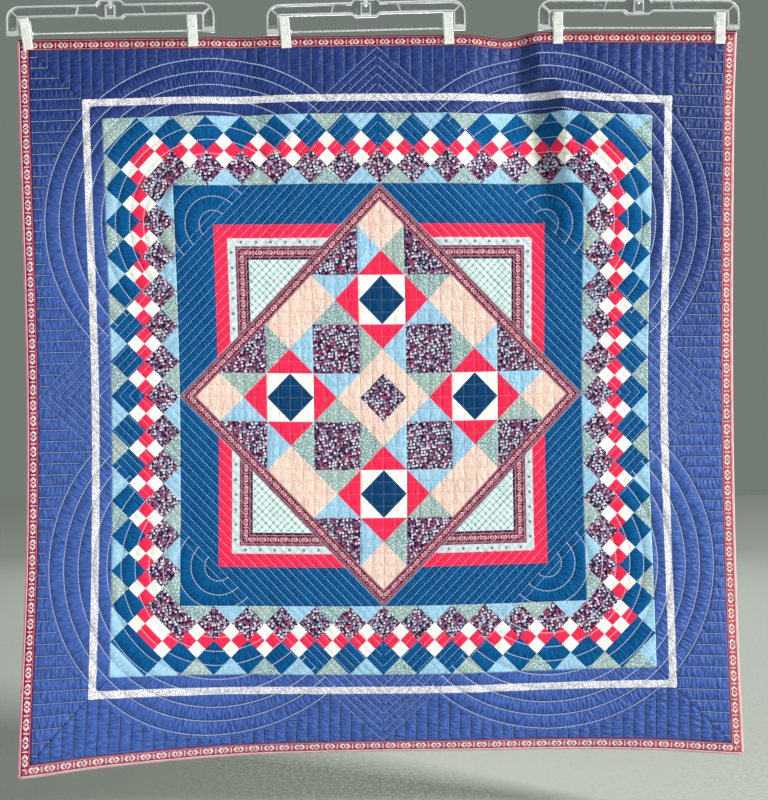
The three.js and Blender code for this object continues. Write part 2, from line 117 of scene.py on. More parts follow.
# The fold beside the right hanger: a long slope back, then a steep return below the clip
foldRows = [
    {"v": 0.200, "starts": 0.110, "deepest": 0.280, "ends": 0.352, "depth": 0},
    {"v": 0.330, "starts": 0.110, "deepest": 0.285, "ends": 0.348, "depth": 0.015},
    {"v": 0.440, "starts": 0.112, "deepest": 0.288, "ends": 0.345, "depth": 0.033},
    {"v": 0.560, "starts": 0.125, "deepest": 0.278, "ends": 0.326, "depth": 0.024},
    {"v": 0.635, "starts": 0.140, "deepest": 0.240, "ends": 0.288, "depth": 0.011},
]
foldReach = 0.320
foldDraw = 0.6  # cloth that the fold draws in, as a share of its depth squared over its steep side
swells = [
    {"u": -0.650, "v": -0.650, "across": 0.200, "down": 0.240, "by": 0.038},
    {"u": 0.620, "v": -0.620, "across": 0.150, "down": 0.190, "by": 0.015},
    {"u": -0.244, "v": 0.500, "across": 0.062, "down": 0.170, "by": -0.009},
    {"u": -0.330, "v": 0.380, "across": 0.060, "down": 0.240, "by": 0.006},
    {"u": 0.430, "v": 0.400, "across": 0.080, "down": 0.190, "by": 0.008},
    {"u": -0.020, "v": -0.060, "across": 0.260, "down": 0.260, "by": -0.007},
    {"u": 0.130, "v": -0.560, "across": 0.150, "down": 0.200, "by": 0.009},
    {"u": -0.250, "v": -0.590, "across": 0.120, "down": 0.200, "by": -0.008},
]
lifts = [
    {"u": 0.300, "v": 0.500, "across": 0.095, "down": 0.125, "by": 0.008},
    {"u": 0.222, "v": 0.660, "across": 0.044, "down": 0.070, "by": -0.008},
]
# Creases left by folding and hanging: a line on the flat quilt, how wide and how deep it is
creases = [
    {"from": (-0.62, 0.196), "to": (0.50, 0.205), "width": 0.006, "depth": 0.0009},
    {"from": (-0.62, -0.222), "to": (0.62, -0.228), "width": 0.006, "depth": 0.0008},
    {"from": (-0.212, 0.60), "to": (-0.206, -0.60), "width": 0.006, "depth": 0.0007},
    {"from": (0.208, 0.30), "to": (0.204, -0.60), "width": 0.007, "depth": 0.0005},
    {"from": (0.505, 0.215), "to": (0.612, 0.226), "width": 0.005, "depth": 0.0020},
]
creaseEnds = 0.03  # length over which a crease fades out
creaseWander = [(0.0015, 41, 0), (0.001, 97, 1)]  # how far, radians a metre, and where the wave starts
hanging = {
    "seatHeight": 0.783,  # of the hooks' seats above the middle of the quilt
    "barDrop": 0.128,
    "heldAside": 0.029,
    "heldBelow": 0.063,
    "fadeAside": 0.036,
    "fadeBelow": 0.080,
}
hangers = [
    {"side": "left", "seatX": -0.480, "tilt": 0.76, "width": 0.368},
    {"side": "middle", "seatX": -0.028, "tilt": 0.97, "width": 0.352},
    {"side": "right", "seatX": 0.457, "tilt": -0.5, "width": 0.356},
]
clips = [
    {"on": "left", "side": "left", "x": -0.149, "lean": 7},
    {"on": "left", "side": "right", "x": 0.145, "lean": 1},
    {"on": "middle", "side": "left", "x": -0.1435, "lean": 3.6},
    {"on": "middle", "side": "right", "x": 0.145, "lean": 1.3},
    {"on": "right", "side": "left", "x": -0.143, "lean": 0.5},
    {"on": "right", "side": "right", "x": 0.144, "lean": 0},
]
originX = hangers[1]["seatX"]  # the frame's origin is the middle hanger's seat


def smoothStep(t):
    s = np.clip(t, 0, 1)
    return s * s * (3 - 2 * s)


def bell(distance, spread):
    return np.exp(-((distance / spread) ** 2))


# Smooth curve through values at uneven places. The values may be rows of values.
def throughStations(places, values, at):
    places = np.array(places, float)
    values = np.array(values, float).reshape(len(places), -1)
    values = np.broadcast_to(values, (len(places), at.size))
    last = len(places) - 1
    before = np.maximum(np.arange(last + 1) - 1, 0)
    after = np.minimum(np.arange(last + 1) + 1, last)
    slopes = (values[after] - values[before]) / (places[after] - places[before])[:, None]
    k = np.clip(np.searchsorted(places, at) - 1, 0, last - 1)
    n = np.arange(at.size)
    span = places[k + 1] - places[k]
    t = (at - places[k]) / span
    return (
        (2 * t**3 - 3 * t**2 + 1) * values[k, n]
        + (t**3 - 2 * t**2 + t) * span * slopes[k, n]
        + (3 * t**2 - 2 * t**3) * values[k + 1, n]
        + (t**3 - t**2) * span * slopes[k + 1, n]
    )


def bumpsAt(bumps, u, v):
    return sum(b["by"] * bell(u - b["u"], b["across"]) * bell(v - b["v"], b["down"]) for b in bumps)


# 1 where a clip holds the sheet, 0 away from the clips
def clipHold(x, z):
    hold = np.zeros_like(x)
    for clip in clips:
        hanger = next(h for h in hangers if h["side"] == clip["on"])
        clipX = hanger["seatX"] + hanging["barDrop"] * math.sin(math.radians(hanger["tilt"])) + clip["x"]
        aside = np.abs(x - clipX) - hanging["heldAside"]
        below = hanging["seatHeight"] - hanging["barDrop"] - hanging["heldBelow"] - z
        here = (1 - smoothStep(aside / hanging["fadeAside"])) * (1 - smoothStep(below / hanging["fadeBelow"]))
        hold = np.maximum(hold, here)
    return hold


# Where points of the flat quilt hang, on the sheet's middle surface, before the shift to the frame's origin
def hang(u, v):
    def onRows(axis):
        acrossRows = [throughStations(columns, r[axis], u) for r in rows]
        return throughStations([r["v"] for r in rows], acrossRows, v)

    foldV = [r["v"] for r in foldRows]
    atV = np.clip(v, foldV[0], foldV[-1])
    keys = ("starts", "deepest", "ends", "depth")
    starts, deepest, ends, depth = (throughStations(foldV, [r[key] for r in foldRows], atV) for key in keys)
    depth = np.maximum(depth, 0)
    steep = ends - deepest
    returned = smoothStep((u - deepest) / steep)
    back = depth * (smoothStep((u - starts) / (deepest - starts)) - returned)
    drawn = foldDraw * depth**2 / steep
    near = smoothStep(1 - np.abs(u - (deepest + ends) / 2) / foldReach)
    x = onRows("x") + drawn * (0.5 - returned) * near
    z = onRows("z") + bumpsAt(lifts, u, v)
    hold = clipHold(x, z)
    y = (back - bumpsAt(swells, u, v)) * (1 - hold)
    return x, y, z, hold


# Hand quilting: distance to the sewn lines, and coordinates along and across them

quilting = {
    "gridPitch": medallionUnit / 4,
    "arcPitch": 0.0248,
    "arcReach": 0.303,
    "echoPitch": 0.0175,  # along either axis
    "lastEcho": 0.615,
    "borderLinePitch": 0.0194,
    "raise": 0.110,  # height of a puff for each metre between its sewn lines
    "gridShare": 0.5,  # of that height in the medallion, which is quilted flatter
    "puckerLength": 0.0085,
    "puckerHeight": 0.00045,
    "puckerDrift": (3, 260),  # how far a pucker swings along the line, and how often across it
    "puckerBreaks": (0.31, 190, 2, 71),  # a longer wave, slanted and swinging, that breaks the puckers up
    "swing": 0.0005,  # slow unevenness of the whole front
    "swingTurns": (31, 23, 37, 19),  # radians a metre of its waves
    "heldShare": 0.25,  # of the relief that the band's seam leaves
    "edgeFade": 0.011,  # the band's seam holds the puffs down
    "sharpness": 0.85,  # of the trough along a sewn line, where 1 is a plain wave
}


def puffBetween(distance, pitch):
    return np.abs(np.sin(np.pi * distance / pitch)) ** quilting["sharpness"]


# Which quilting each point has: the medallion's grid, a corner's arcs or the medallion's echoes. The rest has
# the border's straight lines.
def quiltingZones(u, v):
    a, b = np.abs(u), np.abs(v)
    fromCorner = np.hypot(a - halfRedFrame, b - halfRedFrame)
    inArcs = (a + b > 2 * halfRedFrame) & (fromCorner < quilting["arcReach"])
    return [a + b < halfCentre, inArcs, a + b < quilting["lastEcho"]]


def quiltingAt(u, v):
    a, b = np.abs(u), np.abs(v)
    radius = np.hypot(a - halfRedFrame, b - halfRedFrame)
    grid, arc, echo, line = (quilting[k] for k in ("gridPitch", "arcPitch", "echoPitch", "borderLinePitch"))
    return quilting["raise"] * np.select(
        quiltingZones(u, v),
        [
            quilting["gridShare"] * grid * np.minimum(puffBetween(a, grid), puffBetween(b, grid)),
            arc * puffBetween(radius, arc),
            echo * math.sqrt(0.5) * puffBetween(a + b, echo),
        ],
        line * puffBetween(np.minimum(a, b), line),
    )


# Coordinates along and across the sewn lines, in metres, then both ways counted in lines. All follow the face
# that a point belongs to, so that they stay even across its corners.
def sewnCoordinates(u, v, faceU, faceV):
    zones = quiltingZones(faceU, faceV)
    a, b = u * np.sign(faceU), v * np.sign(faceV)
    level = np.abs(faceU) > np.abs(faceV)
    radius = np.hypot(a - halfRedFrame, b - halfRedFrame)
    faceA, faceB = np.abs(faceU), np.abs(faceV)
    faceRadius = np.hypot(faceA - halfRedFrame, faceB - halfRedFrame)
    angle = np.arctan2(b - halfRedFrame, a - halfRedFrame)
    faceAngle = np.arctan2(faceB - halfRedFrame, faceA - halfRedFrame)
    angle = faceAngle + (angle - faceAngle + np.pi) % (2 * np.pi) - np.pi
    grid, arc, echo, line = (quilting[k] for k in ("gridPitch", "arcPitch", "echoPitch", "borderLinePitch"))
    ringMiddle = (np.floor(faceRadius / arc) + 0.5) * arc
    lesser, greater = np.where(level, b, a), np.where(level, a, b)
    along = np.select(zones, [u, angle * ringMiddle, (a - b) * math.sqrt(0.5)], greater)
    across = np.select(zones, [v, radius, (a + b) * math.sqrt(0.5)], lesser)
    countAcross = np.select(zones, [v / grid, radius / arc, (a + b) / echo], lesser / line)
    countAlong = np.select(zones, [u / grid, np.full_like(u, 0.5), np.full_like(u, 0.5)], 0.5)
    return along, across, countAlong, countAcross


def creaseAt(u, v):
    depth = np.zeros_like(u)
    for crease in creases:
        start, end = np.array(crease["from"]), np.array(crease["to"])
        length = np.hypot(*(end - start))
        direction = (end - start) / length
        along = (u - start[0]) * direction[0] + (v - start[1]) * direction[1]
        aside = (u - start[0]) * -direction[1] + (v - start[1]) * direction[0]
        fade = smoothStep(along / creaseEnds) * smoothStep((length - along) / creaseEnds)
        wander = sum(far * np.sin(along * turns + phase) for far, turns, phase in creaseWander)
        depth += fade * crease["depth"] * bell(aside - wander, crease["width"])
    return depth


# How far the front stands before the middle surface
def frontHeight(u, v):
    raised = quiltingAt(u, v)
    along, across, _, _ = sewnCoordinates(u, v, u, v)
    wave = 2 * np.pi * along / quilting["puckerLength"]
    drift, driftAcross = quilting["puckerDrift"]
    longer, slant, sway, swayAcross = quilting["puckerBreaks"]
    pucker = np.sin(wave + drift * np.sin(across * driftAcross))
    pucker = pucker * np.sin(wave * longer + across * slant + sway * np.sin(across * swayAcross))
    first, firstSway, second, secondSway = quilting["swingTurns"]
    swing = np.sin(u * first + 2 * np.sin(v * firstSway)) * np.sin(v * second + 1.5 * np.sin(u * secondSway))
    free = smoothStep((halfBody - np.maximum(np.abs(u), np.abs(v))) / quilting["edgeFade"])
    raised = raised + quilting["puckerHeight"] * pucker + quilting["swing"] * swing - creaseAt(u, v)
    return quilt["halfThickness"] + (quilting["heldShare"] + (1 - quilting["heldShare"]) * free) * raised


def frontPoints(u, v, pressed=0.0):
    x, y, z, hold = hang(u, v)
    thick = frontHeight(u, v) - pressed
    thick = thick + (quilt["pinchedHalfThickness"] - thick) * hold
    return np.stack([x - originX, y - thick, z - hanging["seatHeight"]], 1)


def backPoints(u, v):
    x, y, z, hold = hang(u, v)
    height = quiltingAt(u, v) * quilt["backPuff"]
    thick = quilt["halfThickness"] + height - quilt["backCrease"] * creaseAt(u, v)
    thick = thick + (quilt["pinchedHalfThickness"] - thick) * hold
    return np.stack([x - originX, y + thick, z - hanging["seatHeight"]], 1)


# Patchwork: which cotton lies where on the flat quilt

cottons = [
    "borderBlue", "sideBlue", "lowBlue", "whiteSpeckle", "navy", "starNavy", "cream", "red", "calico",
    "lightBlue", "greySpeckle", "greyDots", "blueDots", "peach", "plaid", "greyStrip", "scrollStrip",
]
code = {name: index for index, name in enumerate(cottons)}
outerTriangles = ["lightBlue", "greyDots", "lightBlue", "greySpeckle"]
innerTriangles = ["greySpeckle", "lightBlue", "greyDots", "lightBlue"]
cornerTriangles = {  # by corner: the half nearer the top or bottom edge, then the half nearer the side
    (-1, 1): ("greySpeckle", "greyDots"),
    (1, 1): ("lightBlue", "greySpeckle"),
    (-1, -1): ("lightBlue", "lightBlue"),
    (1, -1): ("greySpeckle", "blueDots"),
}
# Side triangles of the medallion's stars, by square: left and right, or top and bottom
starTriangles = {
    (0, 3): ("blueDots", "greyDots"), (0, 1): ("greyDots", "lightBlue"),
    (-1, 2): ("lightBlue", "greySpeckle"), (1, 2): ("greySpeckle", "lightBlue"),
    (-2, 1): ("greySpeckle", "lightBlue"), (-2, -1): ("lightBlue", "greySpeckle"),
    (-3, 0): ("greyDots", "lightBlue"), (-1, 0): ("lightBlue", "greyDots"),
    (2, 1): ("greySpeckle", "lightBlue"), (2, -1): ("lightBlue", "greySpeckle"),
    (3, 0): ("blueDots", "greyDots"), (1, 0): ("greyDots", "lightBlue"),
    (0, -1): ("greySpeckle", "lightBlue"), (0, -3): ("lightBlue", "greySpeckle"),
    (-1, -2): ("greyDots", "lightBlue"), (1, -2): ("lightBlue", "greyDots"),
}


def codes(names):
    return np.array([code[name] for name in names])


def ringCotton(u, v):
    a, b = np.abs(u) / repeat, np.abs(v) / repeat
    level = b >= a
    along = np.where(level, u, v) / repeat
    depth = quilt["ringRepeats"] - np.maximum(a, b)
    p, q = np.floor(along + depth).astype(int), np.floor(along - depth).astype(int)
    row = p - q
    middle = (p + q + 1) / 2
    fromCorner = middle + quilt["innerRepeats"] + 0.5
    outer = codes(outerTriangles)[np.round(fromCorner).astype(int) % len(outerTriangles)]
    inner = codes(innerTriangles)[np.round(fromCorner - 1).astype(int) % len(innerTriangles)]
    upright = np.abs(depth - 1) > np.abs(along - middle)
    fourPatch = np.where(upright, code["cream"], code["red"])
    found = np.select(
        [row <= 0, row == 1, row == 2, row == 3], [outer, code["navy"], fourPatch, code["calico"]], inner,
    )
    # Corner blocks: rows across the diagonal, from the inner corner outwards
    s, t = a + b - 2 * quilt["innerRepeats"], a - b
    broad = np.abs(t) < 0.5
    check = (np.floor((t + 1) * 2) + np.floor(s * 2)).astype(int) % 2 == 0
    odd = (u > 0) & (v < 0)
    innerRow = np.where(broad, code["cream"], code["red"])
    outerRow = np.where(broad, code["red"], code["cream"])
    checked = np.where(check, code["red"], code["cream"])
    corner = np.zeros_like(found)
    for (sideU, sideV), names in cornerTriangles.items():
        here = (u * sideU > 0) & (v * sideV > 0)
        corner = np.where(here, np.where(t < 0, code[names[0]], code[names[1]]), corner)
    block = np.select(
        [s < 1, s < 1.5, s < 2, s < 3],
        [code["calico"], np.where(odd, checked, innerRow), np.where(odd, checked, outerRow), code["navy"]],
        corner,
    )
    return np.where((np.abs(t) < 1) & (s > 0), block, found)


def medallionCotton(u, v):
    x, y = u / medallionUnit, v / medallionUnit
    i, j = np.round(x).astype(int), np.round(y).astype(int)
    fx, fy = x - i, y - j
    diamond = np.abs(fx) + np.abs(fy) < 0.5
    top, bottom = fy > np.abs(fx), -fy > np.abs(fx)
    left, right = -fx > np.abs(fy), fx > np.abs(fy)
    ai, aj = np.abs(i), np.abs(j)
    found = np.full(u.shape, code["peach"])
    found = np.where((ai == 0) & (aj == 0) & diamond, code["calico"], found)
    square = (ai == 1) & (aj == 1) | (ai == 1) & (aj == 3) | (ai == 3) & (aj == 1)
    found = np.where(square, code["calico"], found)
    star = (ai == 0) & (aj == 2) | (ai == 2) & (aj == 0)
    found = np.where(star, np.where(diamond, code["starNavy"], code["cream"]), found)
    for (ci, cj), names in starTriangles.items():
        here = (i == ci) & (j == cj)
        starI, starJ = (0, 2 * np.sign(cj)) if abs(cj) > 1 or ci == 0 else (2 * np.sign(ci), 0)
        if cj == starJ:  # beside the star's middle square, so its quarters above and below are named
            first, second, towards = top, bottom, (right if ci < starI else left)
        else:
            first, second, towards = left, right, (top if cj < starJ else bottom)
        found = np.where(here & first, code[names[0]], found)
        found = np.where(here & second, code[names[1]], found)
        found = np.where(here & towards, code["red"], found)
    return np.where(np.abs(x) + np.abs(y) > quilt["medallionReach"], code["scrollStrip"], found)


def cottonAt(u, v):
    a, b = np.abs(u), np.abs(v)
    d = np.maximum(a, b)
    frames = [quilt[name][1] for name in ("printStripCells", "greyStripCells", "redFrameCells")]
    edges = [count * centreCell for count in (quilt["printStripCells"][0], *frames)]
    return np.select(
        [
            a + b < halfCentre,
            *(d < edge for edge in edges),
            d < halfCentre,
            d < quilt["halfRing"],
            (d > quilt["whiteStripInner"]) & (d < quilt["whiteStripOuter"]),
            (d > quilt["whiteStripOuter"]) & (a > b),
            (d > quilt["whiteStripOuter"]) & (v < 0),
        ],
        [
            medallionCotton(u, v), code["plaid"], code["scrollStrip"], code["greyStrip"], code["red"],
            code["navy"], ringCotton(u, v), code["whiteSpeckle"], code["sideBlue"], code["lowBlue"],
        ],
        code["borderBlue"],
    )


# Coordinates of the printed pattern. Strips run along their own length, the rest lies straight on the quilt.
def printAt(u, v, cotton, faceU, faceV):
    a, b = np.abs(faceU), np.abs(faceV)
    strip = np.isin(cotton, codes(["scrollStrip", "greyStrip"]))
    slanted = strip & (a + b < halfCentre)
    level = b > a
    straightAlong = np.where(level, u * np.sign(faceV), -v * np.sign(faceU))
    outer = np.where(cotton == code["scrollStrip"], quilt["printStripCells"][1], quilt["greyStripCells"][1])
    straightAcross = outer * centreCell - np.where(level, np.abs(v), np.abs(u))
    slantAlong = (u * np.sign(faceV) - v * np.sign(faceU)) * math.sqrt(0.5)
    slantAcross = (halfCentre - np.abs(u) - np.abs(v)) * math.sqrt(0.5)
    along = np.where(slanted, slantAlong, np.where(strip, straightAlong, u))
    across = np.where(slanted, slantAcross, np.where(strip, straightAcross, v))
    return along, across


# Materials

def wire(tree, value, socket):
    if isinstance(value, bpy.types.NodeSocket):
        tree.links.new(value, socket)
    else:
        socket.default_value = value


def maths(tree, operation, *values):
    node = tree.nodes.new("ShaderNodeMath")
    node.operation = operation
    for value, socket in zip(values, node.inputs):
        wire(tree, value, socket)
    return node.outputs[0]


def vectorMaths(tree, operation, *values):
    node = tree.nodes.new("ShaderNodeVectorMath")
    node.operation = operation
    for value, socket in zip(values, node.inputs):
        wire(tree, value, socket)
    return node.outputs["Value"] if operation == "LENGTH" else node.outputs[0]


def separate(tree, vector):
    node = tree.nodes.new("ShaderNodeSeparateXYZ")
    wire(tree, vector, node.inputs[0])
    return node.outputs


def mixColour(tree, factor, first, second):
    node = tree.nodes.new("ShaderNodeMix")
    node.data_type = "RGBA"
    wire(tree, factor, node.inputs[0])
    wire(tree, first, node.inputs[6])
    wire(tree, second, node.inputs[7])
    return node.outputs[2]


def fromTo(tree, value, low, high, outLow=0.0, outHigh=1.0):
    node = tree.nodes.new("ShaderNodeMapRange")
    node.interpolation_type = "SMOOTHSTEP"
    for socket, number in zip(list(node.inputs)[1:5], (low, high, outLow, outHigh)):
        socket.default_value = number
    wire(tree, value, node.inputs[0])
    return node.outputs[0]


# How far a value lies from the middle of its repeat, where the repeat is 1
def fromMiddle(tree, value):
    return maths(tree, "ABSOLUTE", maths(tree, "SUBTRACT", maths(tree, "FRACT", value), 0.5))


def distance(tree, aside, up):
    squares = [maths(tree, "MULTIPLY", side, side) for side in (aside, up)]
    return maths(tree, "SQRT", maths(tree, "ADD", *squares))


def bump(tree, height, depth, strength=1.0, over=None):
    node = tree.nodes.new("ShaderNodeBump")
    node.inputs["Strength"].default_value = strength
    node.inputs["Distance"].default_value = depth
    wire(tree, height, node.inputs["Height"])
    if over is not None:
        wire(tree, over, node.inputs["Normal"])
    return node.outputs[0]


def uvMap(tree, name):
    node = tree.nodes.new("ShaderNodeUVMap")
    node.uv_map = name
    return node.outputs[0]


# Coordinates turned by some degrees, moved, and scaled, on each axis by its own amount
def turned(tree, vector, degrees=0.0, move=(0, 0), scale=(1, 1)):
    node = tree.nodes.new("ShaderNodeMapping")
    node.inputs["Location"].default_value = (move[0], move[1], 0)
    node.inputs["Rotation"].default_value = (0, 0, math.radians(degrees))
    node.inputs["Scale"].default_value = (scale[0], scale[1], 1)
    wire(tree, vector, node.inputs["Vector"])
    return node.outputs[0]


def noise(tree, vector, size, detail=2.0, rough=0.5):
    node = tree.nodes.new("ShaderNodeTexNoise")
    node.inputs["Scale"].default_value = 1 / size
    node.inputs["Detail"].default_value = detail
    node.inputs["Roughness"].default_value = rough
    wire(tree, vector, node.inputs["Vector"])
    return node.outputs["Fac"]


def cells(tree, vector, size, randomness=1.0):
    node = tree.nodes.new("ShaderNodeTexVoronoi")
    node.voronoi_dimensions = "2D"
    node.inputs["Scale"].default_value = 1 / size
    node.inputs["Randomness"].default_value = randomness
    wire(tree, vector, node.inputs["Vector"])
    return node


spotEdge = 0.25  # share of its radius over which a spot's edge is soft
noiseSpread = (0.3, 0.7)  # nearly all of a noise lies between these


# Round spots of a radius, scattered or on a grid, a cell apart
def spots(tree, vector, size, radius, randomness=1.0):
    away = cells(tree, vector, size, randomness).outputs["Distance"]
    return fromTo(tree, away, radius / size * (1 + spotEdge), radius / size * (1 - spotEdge))


def srgb(red, green, blue):
    def linear(channel):
        c = channel / 255
        return c / 12.92 if c <= 0.04045 else ((c + 0.055) / 1.055) ** 2.4
    return (linear(red), linear(green), linear(blue), 1.0)


def newMaterial(name):
    material = bpy.data.materials.new(name)
    material.use_nodes = True
    tree = material.node_tree
    return material, tree, tree.nodes["Principled BSDF"]


def objectPlace(tree):
    return tree.nodes.new("ShaderNodeTexCoord").outputs["Object"]


cloth = {
    "roughness": 0.82,
    "sheen": 0.02,
    "sheenRoughness": 0.4,
    "specular": 0.06,
    "satinRoughness": 0.52,
    "satinSpecular": 0.30,
    "wearSize": 0.035,
    "wearShade": (0.93, 1.05),
    "fibreSize": 0.0011,
    "fibreShade": (-0.06, 0.06),
    "yarn": 0.0006,
    "yarnDepth": 0.4,  # of its width
    "weaveBump": 0.25,
    "puckerWidth": 0.0055,  # along a sewn line
    "puckerReach": 0.016,  # across it
    "puckerDepth": 0.0042,
    # painted light and shade: how much lighter and darker the colour streaks across the puckers
    "puckerPaintedLightAndShade": 0.13,
    "puckerSpread": (0.32, 0.68),
    "ditchWidth": 0.12,  # share of the way to the next line
    "ditchDepth": 0.0022,
    # painted shade: how much darker the colour is in a ditch
    "ditchPaintedShade": 0.40,
}


# Cotton cloth: a print gives its colour, and the weave and the puckers beside the sewn lines its surface.
# Painted shade darkens the colour in the ditches along the sewn lines, and painted light and shade streak it
# across the puckers.
def cottonMaterial(name, printOn, ditched=0.3, puckered=0.5, satin=False):
    material, tree, shader = newMaterial(name)
    flat = uvMap(tree, "print")
    ditches = []
    for count in separate(tree, uvMap(tree, "lines"))[:2]:
        fromLine = maths(tree, "SUBTRACT", 0.5, fromMiddle(tree, count))
        ditches.append(fromTo(tree, fromLine, 0.0, cloth["ditchWidth"], 1.0, 0.0))
    ditch = maths(tree, "MAXIMUM", *ditches)
    across = (1 / cloth["puckerWidth"], 1 / cloth["puckerReach"])
    pucker = noise(tree, turned(tree, uvMap(tree, "quilting"), scale=across), size=1.0, detail=1.5)
    paintedStreak = puckered * cloth["puckerPaintedLightAndShade"]
    wear = fromTo(tree, noise(tree, flat, cloth["wearSize"], 3), *noiseSpread, *cloth["wearShade"])
    fibre = fromTo(tree, noise(tree, flat, cloth["fibreSize"], 2), *noiseSpread, *cloth["fibreShade"])
    shade = maths(tree, "ADD", wear, fibre)
    # painted shade in the ditches along the sewn lines
    shade = maths(tree, "MULTIPLY_ADD", ditch, -ditched * cloth["ditchPaintedShade"], shade)
    # painted light and painted shade streaked across the puckers
    shade = maths(tree, "ADD", shade, fromTo(tree, pucker, *cloth["puckerSpread"], -paintedStreak, paintedStreak))
    tinted = tree.nodes.new("ShaderNodeVectorMath")
    tinted.operation = "SCALE"
    wire(tree, printOn(tree, flat), tinted.inputs[0])
    wire(tree, shade, tinted.inputs["Scale"])
    wire(tree, tinted.outputs[0], shader.inputs["Base Color"])
    shader.inputs["Roughness"].default_value = cloth["satinRoughness" if satin else "roughness"]
    shader.inputs["Sheen Weight"].default_value = cloth["sheen"]
    shader.inputs["Sheen Roughness"].default_value = cloth["sheenRoughness"]
    shader.inputs["Specular IOR Level"].default_value = cloth["satinSpecular" if satin else "specular"]
    depth = puckered * cloth["puckerDepth"]
    sunk = maths(tree, "MULTIPLY_ADD", ditch, -ditched * cloth["ditchDepth"] / depth, pucker)
    weave = noise(tree, flat, cloth["yarn"], detail=2, rough=0.7)
    surface = bump(tree, sunk, depth)
    surface = bump(tree, weave, cloth["yarn"] * cloth["yarnDepth"], cloth["weaveBump"], surface)
    wire(tree, surface, shader.inputs["Normal"])
    return material


def plainPrint(*colour):
    return lambda tree, flat: mixColour(tree, 0.0, srgb(*colour), srgb(*colour))


# The border's cotton is painted darker at the top and towards the top right and lighter lower down: painted
# shade and painted light for how the light falls on it. A dark seam runs along its mitres.
def shadedBorderPrint(look):
    def paint(tree, flat):
        u, v = separate(tree, flat)[:2]
        paintedLight = fromTo(tree, maths(tree, "MULTIPLY_ADD", u, look["slant"], v), *look["paintedLightRange"], 1.0, 0.0)
        colour = mixColour(tree, paintedLight, srgb(*look["paintedShade"]), srgb(*look["paintedLight"]))
        a, b = maths(tree, "ABSOLUTE", u), maths(tree, "ABSOLUTE", v)
        away = maths(tree, "ABSOLUTE", maths(tree, "SUBTRACT", a, b))
        seam = fromTo(tree, away, *look["seam"])
        return mixColour(tree, seam, colour, srgb(*look["seamColour"]))
    return paint


scatter = {"turn": 17, "turnMore": 31, "aside": 0.013, "up": 0.007}  # of each layer of specks


def speckledPrint(ground, specks):
    def paint(tree, flat):
        colour = srgb(*ground)
        for number, speck in enumerate(specks):
            move = (scatter["aside"] * number, scatter["up"])
            place = turned(tree, flat, scatter["turn"] + scatter["turnMore"] * number, move)
            mask = spots(tree, place, speck["apart"], speck["radius"], speck.get("randomness", 1.0))
            colour = mixColour(tree, mask, colour, srgb(*speck["colour"]))
        return colour
    return paint


# A colour for each share of a random number
def shareOut(tree, chance, tints):
    node = tree.nodes.new("ShaderNodeValToRGB")
    node.color_ramp.interpolation = "CONSTANT"
    elements = node.color_ramp.elements
    at = 0.0
    for number, (share, tint) in enumerate(tints):
        element = elements[number] if number < 2 else elements.new(at)
        element.position = at
        element.color = srgb(*tint)
        at += share
    wire(tree, chance, node.inputs[0])
    return node.outputs[0]


flower = {
    "turn": 25,
    "turnMore": 57,  # for each further layer
    "move": (0.031, 0.017),
    "petalReach": 0.84,  # shares of the flower's radius
    "petalWave": 0.22,
    "eye": (0.36, 0.22),
    "softness": 0.00025,
}


# Small flowers of a few petals, packed on a dark ground, each of one of the layer's tints
def flowerPrint(ground, layers):
    def paint(tree, flat):
        colour = srgb(*ground)
        for number, layer in enumerate(layers):
            radius, soft = layer["radius"], flower["softness"]
            move = [way * number for way in flower["move"]]
            place = turned(tree, flat, flower["turn"] + flower["turnMore"] * number, move)
            grid = cells(tree, place, layer["apart"], layer["randomness"])
            offset = vectorMaths(tree, "SUBTRACT", place, grid.outputs["Position"])
            away = vectorMaths(tree, "LENGTH", offset)
            aside, up = separate(tree, offset)[:2]
            chances = separate(tree, grid.outputs["Color"])
            start = maths(tree, "MULTIPLY", chances[1], 2 * math.pi)
            around = maths(tree, "ARCTAN2", up, aside)
            angle = maths(tree, "MULTIPLY_ADD", around, float(layer["petals"]), start)
            reach = maths(tree, "MULTIPLY_ADD", maths(tree, "COSINE", angle), flower["petalWave"] * radius,
                          flower["petalReach"] * radius)
            petal = fromTo(tree, maths(tree, "SUBTRACT", away, reach), soft, -soft)
            colour = mixColour(tree, petal, colour, shareOut(tree, chances[0], layer["tints"]))
            eye = fromTo(tree, away, *(share * radius for share in flower["eye"]))
            colour = mixColour(tree, eye, colour, srgb(*layer["eye"]))
        return colour
    return paint


# Check turned on point: tinted lines each way on a white ground, darker where they cross
def plaidPrint(look):
    def paint(tree, flat):
        lines = []
        half, soft = look["line"] / 2, look["softness"]
        for place in separate(tree, turned(tree, flat, look["turn"]))[:2]:
            away = fromMiddle(tree, maths(tree, "DIVIDE", place, look["pitch"]))
            lines.append(fromTo(tree, away, half + soft, half - soft))
        either = maths(tree, "MAXIMUM", *lines)
        both = maths(tree, "MULTIPLY", *lines)
        colour = mixColour(tree, either, srgb(*look["ground"]), srgb(*look["tint"]))
        return mixColour(tree, both, colour, srgb(*look["crossing"]))
    return paint


edgingShapes = {  # shares of the print's size, but for the ground's blotches and specks
    "leaves": [  # middle, height, radius, and how far aside and up the disc lies that cuts the leaf
        (0.44, -0.04, 0.46, -0.20, 0.14), (0.86, 0.16, 0.24, 0.10, 0.10), (0.34, 0.30, 0.24, -0.12, -0.10),
    ],
    "cut": 0.86,  # radius of that disc, as a share of the leaf's
    "tip": (0.1, 0.3),
    "drop": 0.34,
    "bars": [(1.0, 0.46, "leaf"), (2.2, 0.08, "tip")],  # lines wide, height and tint
    "blotch": 0.0024,
    "blotchSpread": (0.45, 0.62),
    "specks": (0.0038, 0.0008),
    "softness": 0.00025,
}


